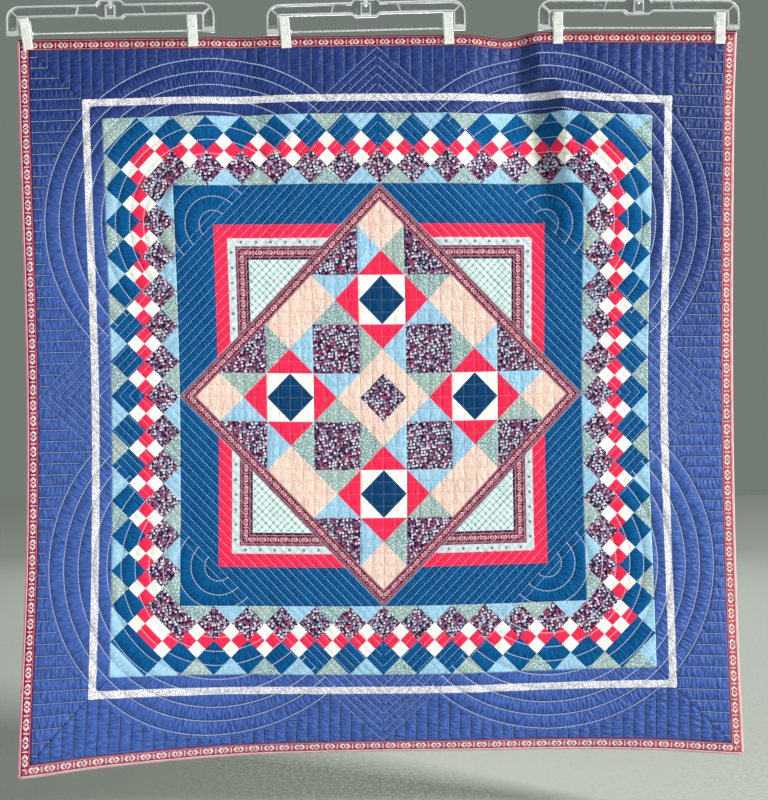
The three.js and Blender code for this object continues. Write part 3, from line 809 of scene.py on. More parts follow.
# Printed edging: in each repeat two pairs of curled leaves round a slim drop, with bars between the repeats
def leafEdgingPrint(look):
    def paint(tree, flat):
        along, across = separate(tree, flat)[:2]
        period, size, shapes = look["period"], look["size"], edgingShapes

        def within(value, limit):
            return fromTo(tree, value, limit + shapes["softness"], limit - shapes["softness"])

        def stripe(value, limit):
            return within(maths(tree, "ABSOLUTE", value), limit)

        def disc(middle, height, radius):
            sideways = maths(tree, "SUBTRACT", aside, middle * size)
            upwards = maths(tree, "SUBTRACT", up, height * size)
            return within(distance(tree, sideways, upwards), radius * size)

        def put(colour, mask, tint):
            return mixColour(tree, mask, colour, srgb(*look[tint]))

        # A leaf is what a small disc leaves of a larger one. Its tip is tinted.
        def leaf(colour, middle, height, radius, cutAside, cutUp):
            cut = disc(middle + cutAside, height + cutUp, shapes["cut"] * radius)
            left = maths(tree, "MAXIMUM", maths(tree, "SUBTRACT", disc(middle, height, radius), cut), 0.0)
            tip = fromTo(tree, up, *((height + rise) * size for rise in shapes["tip"]))
            return put(put(colour, left, "leaf"), maths(tree, "MULTIPLY", left, tip), "tip")

        aside = maths(tree, "MULTIPLY", fromMiddle(tree, maths(tree, "DIVIDE", along, period)), period)
        up = maths(tree, "SUBTRACT", look["middle"], across)  # towards the strip's outer edge
        blotches = fromTo(tree, noise(tree, flat, shapes["blotch"], 1), *shapes["blotchSpread"])
        colour = put(srgb(*look["ground"]), blotches, "shade")
        colour = put(colour, spots(tree, flat, *shapes["specks"]), "tip")
        for shape in shapes["leaves"]:
            colour = leaf(colour, *shape)
        drop = distance(tree, maths(tree, "MULTIPLY", aside, 2.0), up)
        colour = put(colour, within(drop, shapes["drop"] * size), "drop")
        fromEnd = maths(tree, "SUBTRACT", aside, 0.5 * period)
        for wide, high, tint in shapes["bars"]:
            bar = maths(tree, "MULTIPLY", stripe(fromEnd, wide * look["line"]), stripe(up, high * size))
            colour = put(colour, bar, tint)
        # Lines along the strip, some of them dotted
        dots = maths(tree, "FRACT", maths(tree, "DIVIDE", along, look["dotPitch"]))
        dotted = maths(tree, "LESS_THAN", dots, 0.5)
        for start, stop, tint, isDotted in look["lines"]:
            past, short = maths(tree, "GREATER_THAN", across, start), maths(tree, "LESS_THAN", across, stop)
            inside = maths(tree, "MULTIPLY", past, short)
            colour = put(colour, maths(tree, "MULTIPLY", inside, dotted) if isDotted else inside, tint)
        return colour
    return paint


# Round sprigs in a row on a pale ground, with short ticks between them
def sprigPrint(look):
    def paint(tree, flat):
        along, across = separate(tree, flat)[:2]
        ground, sprig = srgb(*look["ground"]), srgb(*look["sprig"])
        turns = fromMiddle(tree, maths(tree, "DIVIDE", along, look["period"]))
        aside = maths(tree, "MULTIPLY", turns, look["period"])
        up = maths(tree, "ABSOLUTE", maths(tree, "SUBTRACT", across, look["middle"]))
        away = distance(tree, aside, up)
        colour = mixColour(tree, fromTo(tree, away, *look["sprigEdge"]), ground, sprig)
        colour = mixColour(tree, fromTo(tree, away, *look["eyeEdge"]), colour, ground)
        fromTick = maths(tree, "ABSOLUTE", maths(tree, "SUBTRACT", aside, look["period"] / 2))
        tickAside, tickUp = fromTo(tree, fromTick, *look["tickAside"]), fromTo(tree, up, *look["tickUp"])
        tick = maths(tree, "MULTIPLY", tickAside, tickUp)
        colour = mixColour(tree, maths(tree, "MULTIPLY", tick, look["tickShade"]), colour, sprig)
        specks = spots(tree, turned(tree, flat, look["speckTurn"]), *look["specks"])
        return mixColour(tree, maths(tree, "MULTIPLY", specks, look["speckShade"]), colour, sprig)
    return paint


# The darker blue at the top is painted shade and the lighter blue lower down is painted light. The change
# between them tilts up towards the right.
borderCotton = {
    "paintedShade": (27, 52, 117), "paintedLight": (54, 86, 159), "paintedLightRange": (0.06, 0.46), "slant": 0.22,
    "seam": (0.0016, 0.00048), "seamColour": (16, 26, 66),
}
prints = {
    "borderBlue": shadedBorderPrint(borderCotton),
    "sideBlue": shadedBorderPrint(borderCotton),
    "lowBlue": shadedBorderPrint(borderCotton),
    "whiteSpeckle": speckledPrint((228, 226, 230), [
        {"apart": 0.0038, "radius": 0.0008, "colour": (104, 94, 110)},
        {"apart": 0.0083, "radius": 0.0009, "colour": (196, 150, 164)},
    ]),
    "navy": plainPrint(8, 80, 134),
    "starNavy": plainPrint(10, 60, 104),
    "cream": speckledPrint((252, 251, 239), [{"apart": 0.0095, "radius": 0.0007, "colour": (214, 214, 204)}]),
    "red": plainPrint(247, 44, 82),
    "calico": flowerPrint((26, 20, 50), [
        {"apart": 0.0034, "radius": 0.0013, "petals": 3, "randomness": 0.9, "eye": (60, 34, 66), "tints": [
            (0.28, (26, 20, 50)), (0.38, (118, 62, 96)), (0.20, (128, 146, 176)), (0.14, (198, 104, 136))]},
        {"apart": 0.0054, "radius": 0.0022, "petals": 5, "randomness": 0.75, "eye": (150, 86, 122), "tints": [
            (0.40, (232, 236, 246)), (0.18, (160, 182, 210)), (0.21, (176, 82, 122)), (0.08, (206, 66, 108)),
            (0.13, (30, 26, 56))]},
    ]),
    "lightBlue": speckledPrint((150, 194, 219), [
        {"apart": 0.0060, "radius": 0.0008, "colour": (206, 231, 246)},
        {"apart": 0.0085, "radius": 0.0006, "colour": (112, 158, 196)},
    ]),
    "greySpeckle": speckledPrint((142, 172, 172), [
        {"apart": 0.0046, "radius": 0.0012, "colour": (214, 228, 222)},
        {"apart": 0.0038, "radius": 0.0008, "colour": (78, 106, 112)},
    ]),
    "greyDots": speckledPrint((156, 178, 172), [
        {"apart": 0.0050, "radius": 0.0007, "colour": (112, 138, 136)},
        {"apart": 0.0076, "radius": 0.0010, "colour": (240, 245, 240), "randomness": 0.5},
    ]),
    "blueDots": speckledPrint((146, 198, 232), [
        {"apart": 0.0072, "radius": 0.0010, "colour": (240, 247, 252), "randomness": 0.5},
    ]),
    "peach": speckledPrint((240, 208, 194), [
        {"apart": 0.0050, "radius": 0.0007, "colour": (204, 126, 112), "randomness": 0.6},
        {"apart": 0.0062, "radius": 0.0006, "colour": (160, 164, 142), "randomness": 0.6},
    ]),
    "plaid": plaidPrint({
        "turn": 45, "pitch": 0.0094, "line": 0.27, "softness": 0.04,
        "ground": (228, 238, 232), "tint": (168, 202, 198), "crossing": (92, 142, 150),
    }),
    "greyStrip": sprigPrint({
        "period": 0.0262, "middle": 0.0066, "ground": (204, 219, 221), "sprig": (70, 84, 106),
        "sprigEdge": (0.0028, 0.0022), "eyeEdge": (0.0009, 0.0005),
        "tickAside": (0.0006, 0.0003), "tickUp": (0.0016, 0.0012), "tickShade": 0.6,
        "specks": (0.004, 0.0005), "speckTurn": 29, "speckShade": 0.45,
    }),
    "scrollStrip": leafEdgingPrint({
        "period": 0.0190, "size": 0.0068, "line": 0.0007, "middle": 0.0115, "dotPitch": 0.0034,
        "ground": (130, 26, 54), "shade": (74, 16, 40), "leaf": (220, 196, 202), "tip": (192, 88, 118),
        "drop": (206, 176, 172), "edge": (62, 26, 62), "pale": (226, 176, 190),
        "lines": [
            (-1.0, 0.0007, "pale", False), (0.0007, 0.0038, "edge", False), (0.0020, 0.0026, "pale", True),
            (0.0038, 0.0044, "pale", False), (0.0188, 0.0194, "pale", False), (0.0194, 1.0, "edge", False),
        ],
    }),
}
satins = ("borderBlue", "sideBlue", "lowBlue")
# The ditches and puckers show in a cotton's bump and also in its colour: painted shade along the ditches,
# painted light and shade across the puckers.
plainRelief = (0.15, 0.4)
clothRelief = {  # how deep the ditches and the puckers show in a cotton, where it isn't plain
    "borderBlue": (0.2, 1.2), "sideBlue": (0.9, 1.3), "lowBlue": (0.9, 1.3), "navy": (0.3, 0.9),
    "whiteSpeckle": (0.3, 0.6), "red": (0.2, 0.6),
}
materials = {
    name: cottonMaterial(name, prints[name], *clothRelief.get(name, plainRelief), satin=name in satins)
    for name in cottons
}
print("cottons printed:", len(materials))


# The quilt's front: one fine sheet for each part of the patchwork, with its seams on mesh edges

def fillAttributes(mesh, flat, cotton, faceMiddle):
    loopVertex = np.empty(len(mesh.loops), int)
    mesh.loops.foreach_get("vertex_index", loopVertex)
    sizes = np.empty(len(mesh.polygons), int)
    mesh.polygons.foreach_get("loop_total", sizes)
    loopFace = np.repeat(np.arange(len(sizes)), sizes)
    u, v = flat[loopVertex, 0], flat[loopVertex, 1]
    faceU, faceV = faceMiddle[loopFace, 0], faceMiddle[loopFace, 1]
    along, across = printAt(u, v, cotton[loopFace], faceU, faceV)
    sewn = sewnCoordinates(u, v, faceU, faceV)
    for name, first, second in (("print", along, across), ("quilting", *sewn[:2]), ("lines", *sewn[2:])):
        layer = mesh.uv_layers.new(name=name)
        layer.data.foreach_set("uv", np.stack([first, second], 1).astype(np.float32).ravel())


def makeMesh(name, points, faces, smooth=True):
    mesh = bpy.data.meshes.new(name)
    mesh.from_pydata(points.tolist(), [], faces)
    if smooth:
        mesh.shade_smooth()
    made = bpy.data.objects.new(name, mesh)
    bpy.context.scene.collection.objects.link(made)
    return made


# Faces of a grid of stations where keep is true. A cell that a slanting seam crosses is cut along it.
def patchwork(name, stations, keep):
    count = len(stations)
    u, v = (grid.ravel() for grid in np.meshgrid(stations, stations, indexing="ij"))
    i, j = (grid.ravel() for grid in np.meshgrid(np.arange(count - 1), np.arange(count - 1), indexing="ij"))
    low, high = stations[i], stations[i + 1]
    below, above = stations[j], stations[j + 1]
    midU, midV = (low + high) / 2, (below + above) / 2
    kept = keep(midU, midV)
    everyCell = (i, j, low, high, below, above, midU, midV)
    i, j, low, high, below, above, midU, midV = (values[kept] for values in everyCell)
    thirdU, thirdV = (high - low) / 3, (above - below) / 3
    leftCotton, rightCotton = cottonAt(midU - thirdU, midV), cottonAt(midU + thirdU, midV)
    lowCotton, highCotton = cottonAt(midU, midV - thirdV), cottonAt(midU, midV + thirdV)
    a, b = i * count + j, (i + 1) * count + j
    c, d = (i + 1) * count + j + 1, i * count + j + 1
    plain = (leftCotton == rightCotton) & (lowCotton == highCotton) & (leftCotton == lowCotton)
    falling = ~plain & (leftCotton == lowCotton) & (rightCotton == highCotton)
    rising = ~plain & ~falling
    faces, cotton = [], []
    for chosen, corners, kind in (
        (plain, (a, b, c, d), leftCotton),
        (falling, (a, b, d), leftCotton),
        (falling, (b, c, d), rightCotton),
        (rising, (a, b, c), lowCotton),
        (rising, (a, c, d), highCotton),
    ):
        faces += np.stack([corner[chosen] for corner in corners], 1).tolist()
        cotton.append(kind[chosen])
    cotton = np.concatenate(cotton)
    used, compact = np.unique(np.concatenate([np.array(face) for face in faces]), return_inverse=True)
    flat = np.stack([u[used], v[used]], 1)
    sizes = np.array([len(face) for face in faces])
    starts = np.concatenate([[0], np.cumsum(sizes)])
    compactList = compact.tolist()
    faces = [compactList[starts[k]:starts[k + 1]] for k in range(len(faces))]
    loopFace = np.repeat(np.arange(len(faces)), sizes)
    # Points where cottons meet are pressed in, as a seam is
    least, most = np.full(len(used), len(cottons)), np.full(len(used), -1)
    np.minimum.at(least, compact, cotton[loopFace])
    np.maximum.at(most, compact, cotton[loopFace])
    pressed = np.where(least != most, quilt["seamDepth"], 0.0)
    middle = np.stack([np.bincount(loopFace, flat[compact, axis]) for axis in (0, 1)], 1) / sizes[:, None]
    made = makeMesh(name, frontPoints(flat[:, 0], flat[:, 1], pressed), faces)
    present = np.unique(cotton)
    for kind in present:
        made.data.materials.append(materials[cottons[kind]])
    made.data.polygons.foreach_set("material_index", np.searchsorted(present, cotton))
    fillAttributes(made.data, flat, cotton, middle)
    turnUnderEdges(made)
    print(name, len(made.data.polygons), "faces")
    return made


# The edges of each part are turned back behind its neighbour, as a seam allowance is
def turnUnderEdges(piece):
    work = bmesh.new()
    work.from_mesh(piece.data)
    rim = [edge for edge in work.edges if edge.is_boundary]
    turned = bmesh.ops.extrude_edge_only(work, edges=rim)["geom"]
    under = [item for item in turned if isinstance(item, bmesh.types.BMVert)]
    bmesh.ops.translate(work, verts=under, vec=(0, quilt["seamAllowance"], 0))
    work.to_mesh(piece.data)
    work.free()


def mirroredStations(half):
    return np.concatenate([-half[:0:-1], half])


borderCells = {"inside": 9, "whiteStrip": 5, "outside": 35}
ringHalf = np.linspace(0, quilt["halfRing"], quilt["ringRepeats"] * quilt["cellsPerRepeat"] + 1)
borderHalf = np.concatenate([
    ringHalf,
    np.linspace(quilt["halfRing"], quilt["whiteStripInner"], borderCells["inside"] + 1)[1:],
    np.linspace(quilt["whiteStripInner"], quilt["whiteStripOuter"], borderCells["whiteStrip"] + 1)[1:],
    np.linspace(quilt["whiteStripOuter"], halfBody, borderCells["outside"] + 1)[1:],
])
centreStations = mirroredStations(np.linspace(0, halfCentre, quilt["centreCells"] + 1))


def reach(u, v):
    return np.maximum(np.abs(u), np.abs(v))


quiltCentre = patchwork("quiltCentre", centreStations, lambda u, v: reach(u, v) < halfCentre)
piecedRing = patchwork("piecedRing", mirroredStations(ringHalf), lambda u, v: reach(u, v) > halfCentre)
quiltBorder = patchwork(
    "quiltBorder", mirroredStations(borderHalf), lambda u, v: reach(u, v) > quilt["halfRing"],
)

# Plain backing, coarser than the front
backing = {"cells": 192, "colour": (226, 218, 198)}
backStations = np.linspace(-halfBody, halfBody, backing["cells"] + 1)
backU, backV = (grid.ravel() for grid in np.meshgrid(backStations, backStations, indexing="ij"))
rowStep = backing["cells"] + 1
backFaces = [
    [i * rowStep + j, i * rowStep + j + 1, (i + 1) * rowStep + j + 1, (i + 1) * rowStep + j]
    for i in range(backing["cells"]) for j in range(backing["cells"])
]
quiltBacking = makeMesh("quiltBacking", backPoints(backU, backV), backFaces)
backFlat = np.stack([backU, backV], 1)
backMiddles = backFlat[np.array(backFaces)].mean(1)
fillAttributes(quiltBacking.data, backFlat, np.zeros(len(backFaces), int), backMiddles)
quiltBacking.data.materials.append(cottonMaterial("backingCotton", plainPrint(*backing["colour"])))
print("backing", len(backFaces), "faces")


# The printed edge band: four mitred strips that wrap the edge

band = {
    "cells": 300,
    "front": 0.0019,
    "edge": 0.0011,
    "thinsFrom": 0.9,  # share of the band's width
    "tuck": 0.0006,  # the band's inner edge lies over the border
    "mitreGap": 0.0001,
    "ripple": (0.10, 420, 57),  # share of the thickness, and radians a metre of two waves
    "backFrom": 9,  # first point of the profile that lies behind the edge
    "backShift": 0.0004,
    "seamStart": 0.15,  # where the band's inner edge lies between two sewn lines
    "profile": [  # share of the band's width from its inner edge, and share of its half thickness
        (0.0, -0.75), (0.06, -1.0), (0.25, -1.12), (0.5, -1.15), (0.7, -1.1), (0.78, -0.92), (0.86, -1.02),
        (0.95, -0.85), (1.0, -0.3), (1.0, 0.3), (0.94, 0.8), (0.7, 1.0), (0.3, 1.0), (0.0, 0.85),
    ],
}
edging = {
    "period": 0.0270, "size": 0.0094, "line": 0.0009, "middle": 0.0118, "dotPitch": 0.0030,
    "ground": (146, 30, 60), "shade": (92, 18, 44), "leaf": (244, 230, 232), "tip": (226, 112, 140),
    "drop": (202, 190, 176), "edge": (120, 24, 54), "pale": (226, 160, 178),
    "lines": [
        (-1.0, 0.0046, "pale", False), (0.0016, 0.0028, "edge", True), (0.0046, 0.0056, "edge", False),
        (0.0180, 0.0188, "pale", True), (0.0195, 1.0, "edge", False),
    ],
}
# The bands' prints differ a little in their motifs. Beyond that, the bottom and right bands are painted paler
# than the left, as painted light for a haze of light on those edges, and the top band's ground a little
# darker, as painted shade.
edgings = {
    "topBandPrint": dict(edging, ground=(134, 32, 50), leaf=(226, 202, 198), tip=(190, 92, 110), lines=[
        (-1.0, 0.0026, "shade", False), (0.0026, 0.0034, "leaf", True), (0.0184, 0.0192, "leaf", True)]),
    "leftBandPrint": edging,
    "bottomBandPrint": dict(edging, ground=(154, 78, 92), shade=(124, 60, 76), edge=(136, 68, 84),
                            pale=(220, 180, 186), leaf=(230, 220, 216)),
    "rightBandPrint": dict(edging, ground=(172, 74, 86), shade=(142, 56, 70), edge=(154, 66, 80),
                           pale=(232, 188, 188), leaf=(236, 226, 214)),
}
for name, look in edgings.items():
    materials[name] = cottonMaterial(name, leafEdgingPrint(look))


def edgeBand(name, turn, node, cotton):
    inner = halfBody - band["tuck"]
    cellsAlong, profile = band["cells"], band["profile"]
    count = len(profile)
    steps = np.repeat(np.linspace(-1, 1, cellsAlong + 1), count)
    share = np.tile([p[0] for p in profile], cellsAlong + 1)
    depth = np.tile([p[1] for p in profile], cellsAlong + 1)
    out = inner + (quilt["halfQuilt"] - inner) * share
    s = steps * (out - band["mitreGap"])
    u, v = [(s, out), (-out, s), (-s, -out), (out, -s)][turn]
    x, y, z, hold = hang(u, v)
    thinned = smoothStep((share - band["thinsFrom"]) / (1 - band["thinsFrom"]))
    strength, turns, drift = band["ripple"]
    ripple = 1 + strength * np.sin(s * turns + 2 * np.sin(s * drift)) * (1 - share)
    half = (band["front"] + (band["edge"] - band["front"]) * thinned) * ripple
    half = half + (np.minimum(half, quilt["pinchedHalfThickness"]) - half) * hold
    points = np.stack([x - originX, y + depth * half, z - hanging["seatHeight"]], 1)
    faces = []
    for k in range(cellsAlong):
        for n in range(count):
            m = (n + 1) % count
            faces.append([k * count + n, (k + 1) * count + n, (k + 1) * count + m, k * count + m])
    faces.append(list(range(count)))
    faces.append([cellsAlong * count + n for n in reversed(range(count))])
    made = makeMesh(name, points, faces)
    loopVertex = np.empty(len(made.data.loops), int)
    made.data.loops.foreach_get("vertex_index", loopVertex)
    fromOuter = quilt["halfQuilt"] - out
    behind = np.tile(np.arange(count) >= band["backFrom"], cellsAlong + 1)
    fromOuter = np.where(behind, -fromOuter - band["backShift"], fromOuter)
    fromSeam = (out - inner) / quilting["borderLinePitch"] + band["seamStart"]
    maps = {"print": (s, fromOuter), "quilting": (fromOuter, s), "lines": (np.full_like(s, 0.5), fromSeam)}
    for layerName, (first, second) in maps.items():
        layer = made.data.uv_layers.new(name=layerName)
        pairs = np.stack([first[loopVertex], second[loopVertex]], 1)
        layer.data.foreach_set("uv", pairs.astype(np.float32).ravel())
    made.data.materials.append(materials[cotton])
    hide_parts(node)
    return made


bands = [
    edgeBand(f"{side}Band", turn, f"{side}_band", f"{side}BandPrint")
    for turn, side in enumerate(("top", "left", "bottom", "right"))
]
print("bands", len(bands))


# Hand stitches, laid along every sewn line

stitch = {
    "period": 0.0039,
    "length": 0.0026,
    "shoulder": 0.55,  # share of the length over which a stitch keeps its width
    "width": 0.0020,  # along the arcs
    "echoWidth": 0.0009,
    "fineWidth": 0.0012,
    "sunkWidth": 0.0004,
    "gridWidth": 0.00025,
    "proud": 0.00020,
    "readAside": 0.0012,  # the cloth's height is read on both sides of the line
    "readAhead": 0.0008,
    "followsSlope": 0.3,
    "stopShort": 0.001,
    "edgeClear": 0.002,
    "middleReach": 0.40,  # from the quilt's middle, within which stitches go with the centre's
}


def linePoints(start, end):
    start, end = np.array(start, float), np.array(end, float)
    length = np.hypot(*(end - start))
    count = int(length / stitch["period"])
    if count < 1:
        return np.empty((0, 4))
    direction = (end - start) / length
    at = (np.arange(count) + 0.5) * stitch["period"]
    return np.concatenate([start + at[:, None] * direction, np.tile(direction, (count, 1))], 1)


def arcPoints(centre, radius, start, end):
    count = int(radius * abs(end - start) / stitch["period"])
    angle = start + (np.arange(count) + 0.5) * (end - start) / count
    place = np.array(centre) + radius * np.stack([np.cos(angle), np.sin(angle)], 1)
    return np.concatenate([place, np.stack([-np.sin(angle), np.cos(angle)], 1)], 1)


# Points along every sewn line, with how wide a stitch shows there: less where the thread sinks in
def sewnLines():
    echoes, gridLines, arcs, borderLines = [], [], [], []
    grid, clear = quilting["gridPitch"], stitch["edgeClear"]
    gridCount = int(halfCentre / grid)
    for k in range(-gridCount, gridCount + 1):
        at, half = k * grid, halfCentre - abs(k * grid) - stitch["stopShort"]
        gridLines += [linePoints((at, -half), (at, half)), linePoints((-half, at), (half, at))]
    arcCount = int(quilting["arcReach"] / quilting["arcPitch"])
    firstEcho = math.ceil(halfCentre / quilting["echoPitch"])
    lastEcho = math.ceil((quilting["lastEcho"] + stitch["stopShort"]) / quilting["echoPitch"])
    for sideU in (-1, 1):
        for sideV in (-1, 1):
            diagonal = math.atan2(sideV, sideU)
            for k in range(1, arcCount + 1):
                arcs.append(arcPoints((sideU * halfRedFrame, sideV * halfRedFrame), k * quilting["arcPitch"],
                                      diagonal - math.pi / 2, diagonal + math.pi / 2))
            for echo in range(firstEcho, lastEcho):
                total = echo * quilting["echoPitch"]
                echoes.append(linePoints((sideU * total, 0), (0, sideV * total)))
    pitch = quilting["borderLinePitch"]
    borderCount = int(halfBody / pitch)
    for k in range(-borderCount, borderCount + 1):
        at = k * pitch
        start = max(quilt["whiteStripOuter"] + clear, abs(at), quilting["lastEcho"] - abs(at))
        for side in (-1, 1):
            borderLines += [linePoints((at, side * start), (at, side * halfBody)),
                            linePoints((side * start, at), (side * halfBody, at))]
    families = (echoes, gridLines, arcs, borderLines)
    echoes, gridLines, arcs, borderLines = (np.concatenate(family) for family in families)
    arcs = arcs[reach(arcs[:, 0], arcs[:, 1]) < halfBody - clear]
    inArcs = quiltingZones(borderLines[:, 0], borderLines[:, 1])[1]
    borderLines = borderLines[~inArcs & (reach(borderLines[:, 0], borderLines[:, 1]) < halfBody - clear)]
    upright = np.abs(borderLines[:, 1]) > np.abs(borderLines[:, 0])
    lines = np.concatenate([echoes, gridLines, arcs, borderLines])
    widths = np.concatenate([
        np.full(len(echoes), stitch["echoWidth"]),
        np.full(len(gridLines), stitch["gridWidth"]),
        np.full(len(arcs), stitch["width"]),
        np.where(upright, stitch["sunkWidth"], stitch["fineWidth"]),
    ])
    return lines, widths


def stitches(name, lines, widths):
    length, width = stitch["length"] / 2, widths[:, None] / 2
    u, v, du, dv = lines.T
    step, beside = stitch["readAhead"], stitch["readAside"]
    sides = [frontPoints(u - dv * way, v + du * way) for way in (beside, -beside)]
    heart = (sides[0] + sides[1]) / 2
    heart[:, 1] -= stitch["proud"]
    ahead = frontPoints(u + du * step, v + dv * step) - frontPoints(u - du * step, v - dv * step)
    aside = frontPoints(u - dv * step, v + du * step) - frontPoints(u + dv * step, v - du * step)
    ahead[:, 1] *= stitch["followsSlope"]
    aside[:, 1] = 0
    ahead /= np.linalg.norm(ahead, axis=1)[:, None]
    aside /= np.linalg.norm(aside, axis=1)[:, None]
    out = np.cross(ahead, aside)
    out *= -np.sign(out[:, 1])[:, None]
    shoulder = ahead * length * stitch["shoulder"]
    corners = [
        heart + ahead * length, heart + shoulder + aside * width, heart - shoulder + aside * width,
        heart - ahead * length, heart - shoulder - aside * width, heart + shoulder - aside * width,
        heart + out * width / 2, heart - out * width / 2,
    ]
    points = np.stack(corners, 1).reshape(-1, 3)
    shape = np.array([(k, (k + 1) % 6, 6) for k in range(6)] + [((k + 1) % 6, k, 7) for k in range(6)])
    faces = (np.arange(len(lines))[:, None, None] * len(corners) + shape).reshape(-1, 3).tolist()
    made = makeMesh(name, points, faces)
    work = bmesh.new()
    work.from_mesh(made.data)
    bmesh.ops.recalc_face_normals(work, faces=work.faces)
    work.to_mesh(made.data)
    work.free()
    print(name, len(lines), "stitches")
    return made


threadLook = {"dull": (206, 220, 248), "bright": (226, 236, 255), "fadeSize": 0.02, "roughness": 0.7}


def threadMaterial():
    material, tree, shader = newMaterial("quiltingThread")
    fade = noise(tree, objectPlace(tree), threadLook["fadeSize"], 1)
    tint = mixColour(tree, fade, srgb(*threadLook["dull"]), srgb(*threadLook["bright"]))
    wire(tree, tint, shader.inputs["Base Color"])
    shader.inputs["Roughness"].default_value = threadLook["roughness"]
    return material


sewn, sewnWidths = sewnLines()
inMiddle = reach(sewn[:, 0], sewn[:, 1]) < stitch["middleReach"]
thread = threadMaterial()
centreStitches = stitches("centreStitches", sewn[inMiddle], sewnWidths[inMiddle])
outerStitches = stitches("outerStitches", sewn[~inMiddle], sewnWidths[~inMiddle])
for piece in (centreStitches, outerStitches):
    piece.data.materials.append(thread)


# Hangers

moulded = {
    "cloudSize": 0.009,
    "cloudiness": 0.05,
    "unevenness": 0.3,  # of the roughness
    "bending": 1.46,
    "waveSize": 0.0035,
    "waveDepth": 0.0002,
    "waveBump": 0.15,
}


def plasticMaterial(name, colour, roughness, transmission):
    material, tree, shader = newMaterial(name)
    place = objectPlace(tree)
    cloud = fromTo(tree, noise(tree, place, moulded["cloudSize"], 2), *noiseSpread)
    dull = srgb(*[channel * (1 - moulded["cloudiness"]) for channel in colour])
    wire(tree, mixColour(tree, cloud, dull, srgb(*colour)), shader.inputs["Base Color"])
    smoothest, roughest = roughness * (1 - moulded["unevenness"]), roughness * (1 + moulded["unevenness"])
    wire(tree, fromTo(tree, cloud, 0, 1, smoothest, roughest), shader.inputs["Roughness"])
    shader.inputs["Transmission Weight"].default_value = transmission
    shader.inputs["IOR"].default_value = moulded["bending"]
    waves = bump(tree, noise(tree, place, moulded["waveSize"], 1), moulded["waveDepth"], moulded["waveBump"])
    wire(tree, waves, shader.inputs["Normal"])
    return material


steel = {
    "dull": (222, 224, 227),
    "bright": (244, 246, 248),
    "roughness": (0.24, 0.38),
    "grain": 0.004,
    "metallic": 0.7,
}


def steelMaterial():
    material, tree, shader = newMaterial("brightSteel")
    worn = noise(tree, objectPlace(tree), steel["grain"], 3)
    tint = mixColour(tree, worn, srgb(*steel["dull"]), srgb(*steel["bright"]))
    wire(tree, tint, shader.inputs["Base Color"])
    wire(tree, fromTo(tree, worn, *noiseSpread, *steel["roughness"]), shader.inputs["Roughness"])
    shader.inputs["Metallic"].default_value = steel["metallic"]
    return material


clearWeb = plasticMaterial("clearWeb", (222, 228, 225), 0.05, 0.97)
# the rim is milky white: painted light for the light that the clear ribs catch inside
rimWithPaintedLight = plasticMaterial("rimWithPaintedLight", (246, 248, 247), 0.10, 0.55)
milkyPlastic = plasticMaterial("milkyPlastic", (240, 241, 235), 0.28, 0.06)
brightSteel = steelMaterial()


def deselectAll():
    if bpy.context.object and bpy.context.object.mode != "OBJECT":
        bpy.ops.object.mode_set(mode="OBJECT")
    bpy.ops.object.select_all(action="DESELECT")


def makeActive(piece):
    deselectAll()
    piece.select_set(True)
    bpy.context.view_layer.objects.active = piece


# In edit mode: selects the faces that a test of middle and normal picks
def pickFaces(piece, test):
    bpy.ops.mesh.select_mode(type="FACE")
    bpy.ops.mesh.select_all(action="DESELECT")
    work = bmesh.from_edit_mesh(piece.data)
    for face in work.faces:
        if test(face.calc_center_median(), face.normal):
            face.select = True
    bmesh.update_edit_mesh(piece.data)


def cutAcross(place, direction):
    bpy.ops.mesh.select_all(action="SELECT")
    bpy.ops.mesh.bisect(plane_co=place, plane_no=direction)


def applyPlace(piece):
    makeActive(piece)
    bpy.ops.object.transform_apply(location=True, rotation=True, scale=True)


def applyModifier(piece, kind, **settings):
    makeActive(piece)
    modifier = piece.modifiers.new(kind.lower(), kind)
    for key, value in settings.items():
        setattr(modifier, key, value)
    bpy.ops.object.modifier_apply(modifier=modifier.name)


def roundEdges(piece, width, segments=2):
    applyModifier(piece, "BEVEL", width=width, segments=segments, limit_method="ANGLE",
                  angle_limit=math.radians(28))
    makeActive(piece)
    bpy.ops.object.shade_smooth_by_angle(angle=math.radians(35))


jaw = {
    "width": 0.0174,
    "top": 0.0255,
    "bottom": -0.029,
    "gap": 0.0021,
    "thickness": 0.0028,
    "flare": 0.0042,
    "bend": 0.004,
    "bendStep": 0.0003,
    "tipTaper": 0.8,
    "endTaper": 0.55,
    "columns": 5,
    "margin": 0.0011,
    "waffle": (0.0085, 0.0245, 5),  # from, to, rows
    "waffleDepth": 0.0011,
    "groove": 0.0006,
    "step": 0.0014,
    "flutes": (-0.0235, 0.0055),
    "fluteDepth": 0.0010,
    "teeth": -0.0262,
    "facing": -0.6,  # a front face's normal points at least this far forwards
    "toothInset": 0.0006,
    "toothHeight": 0.0006,
    "round": 0.00028,
}


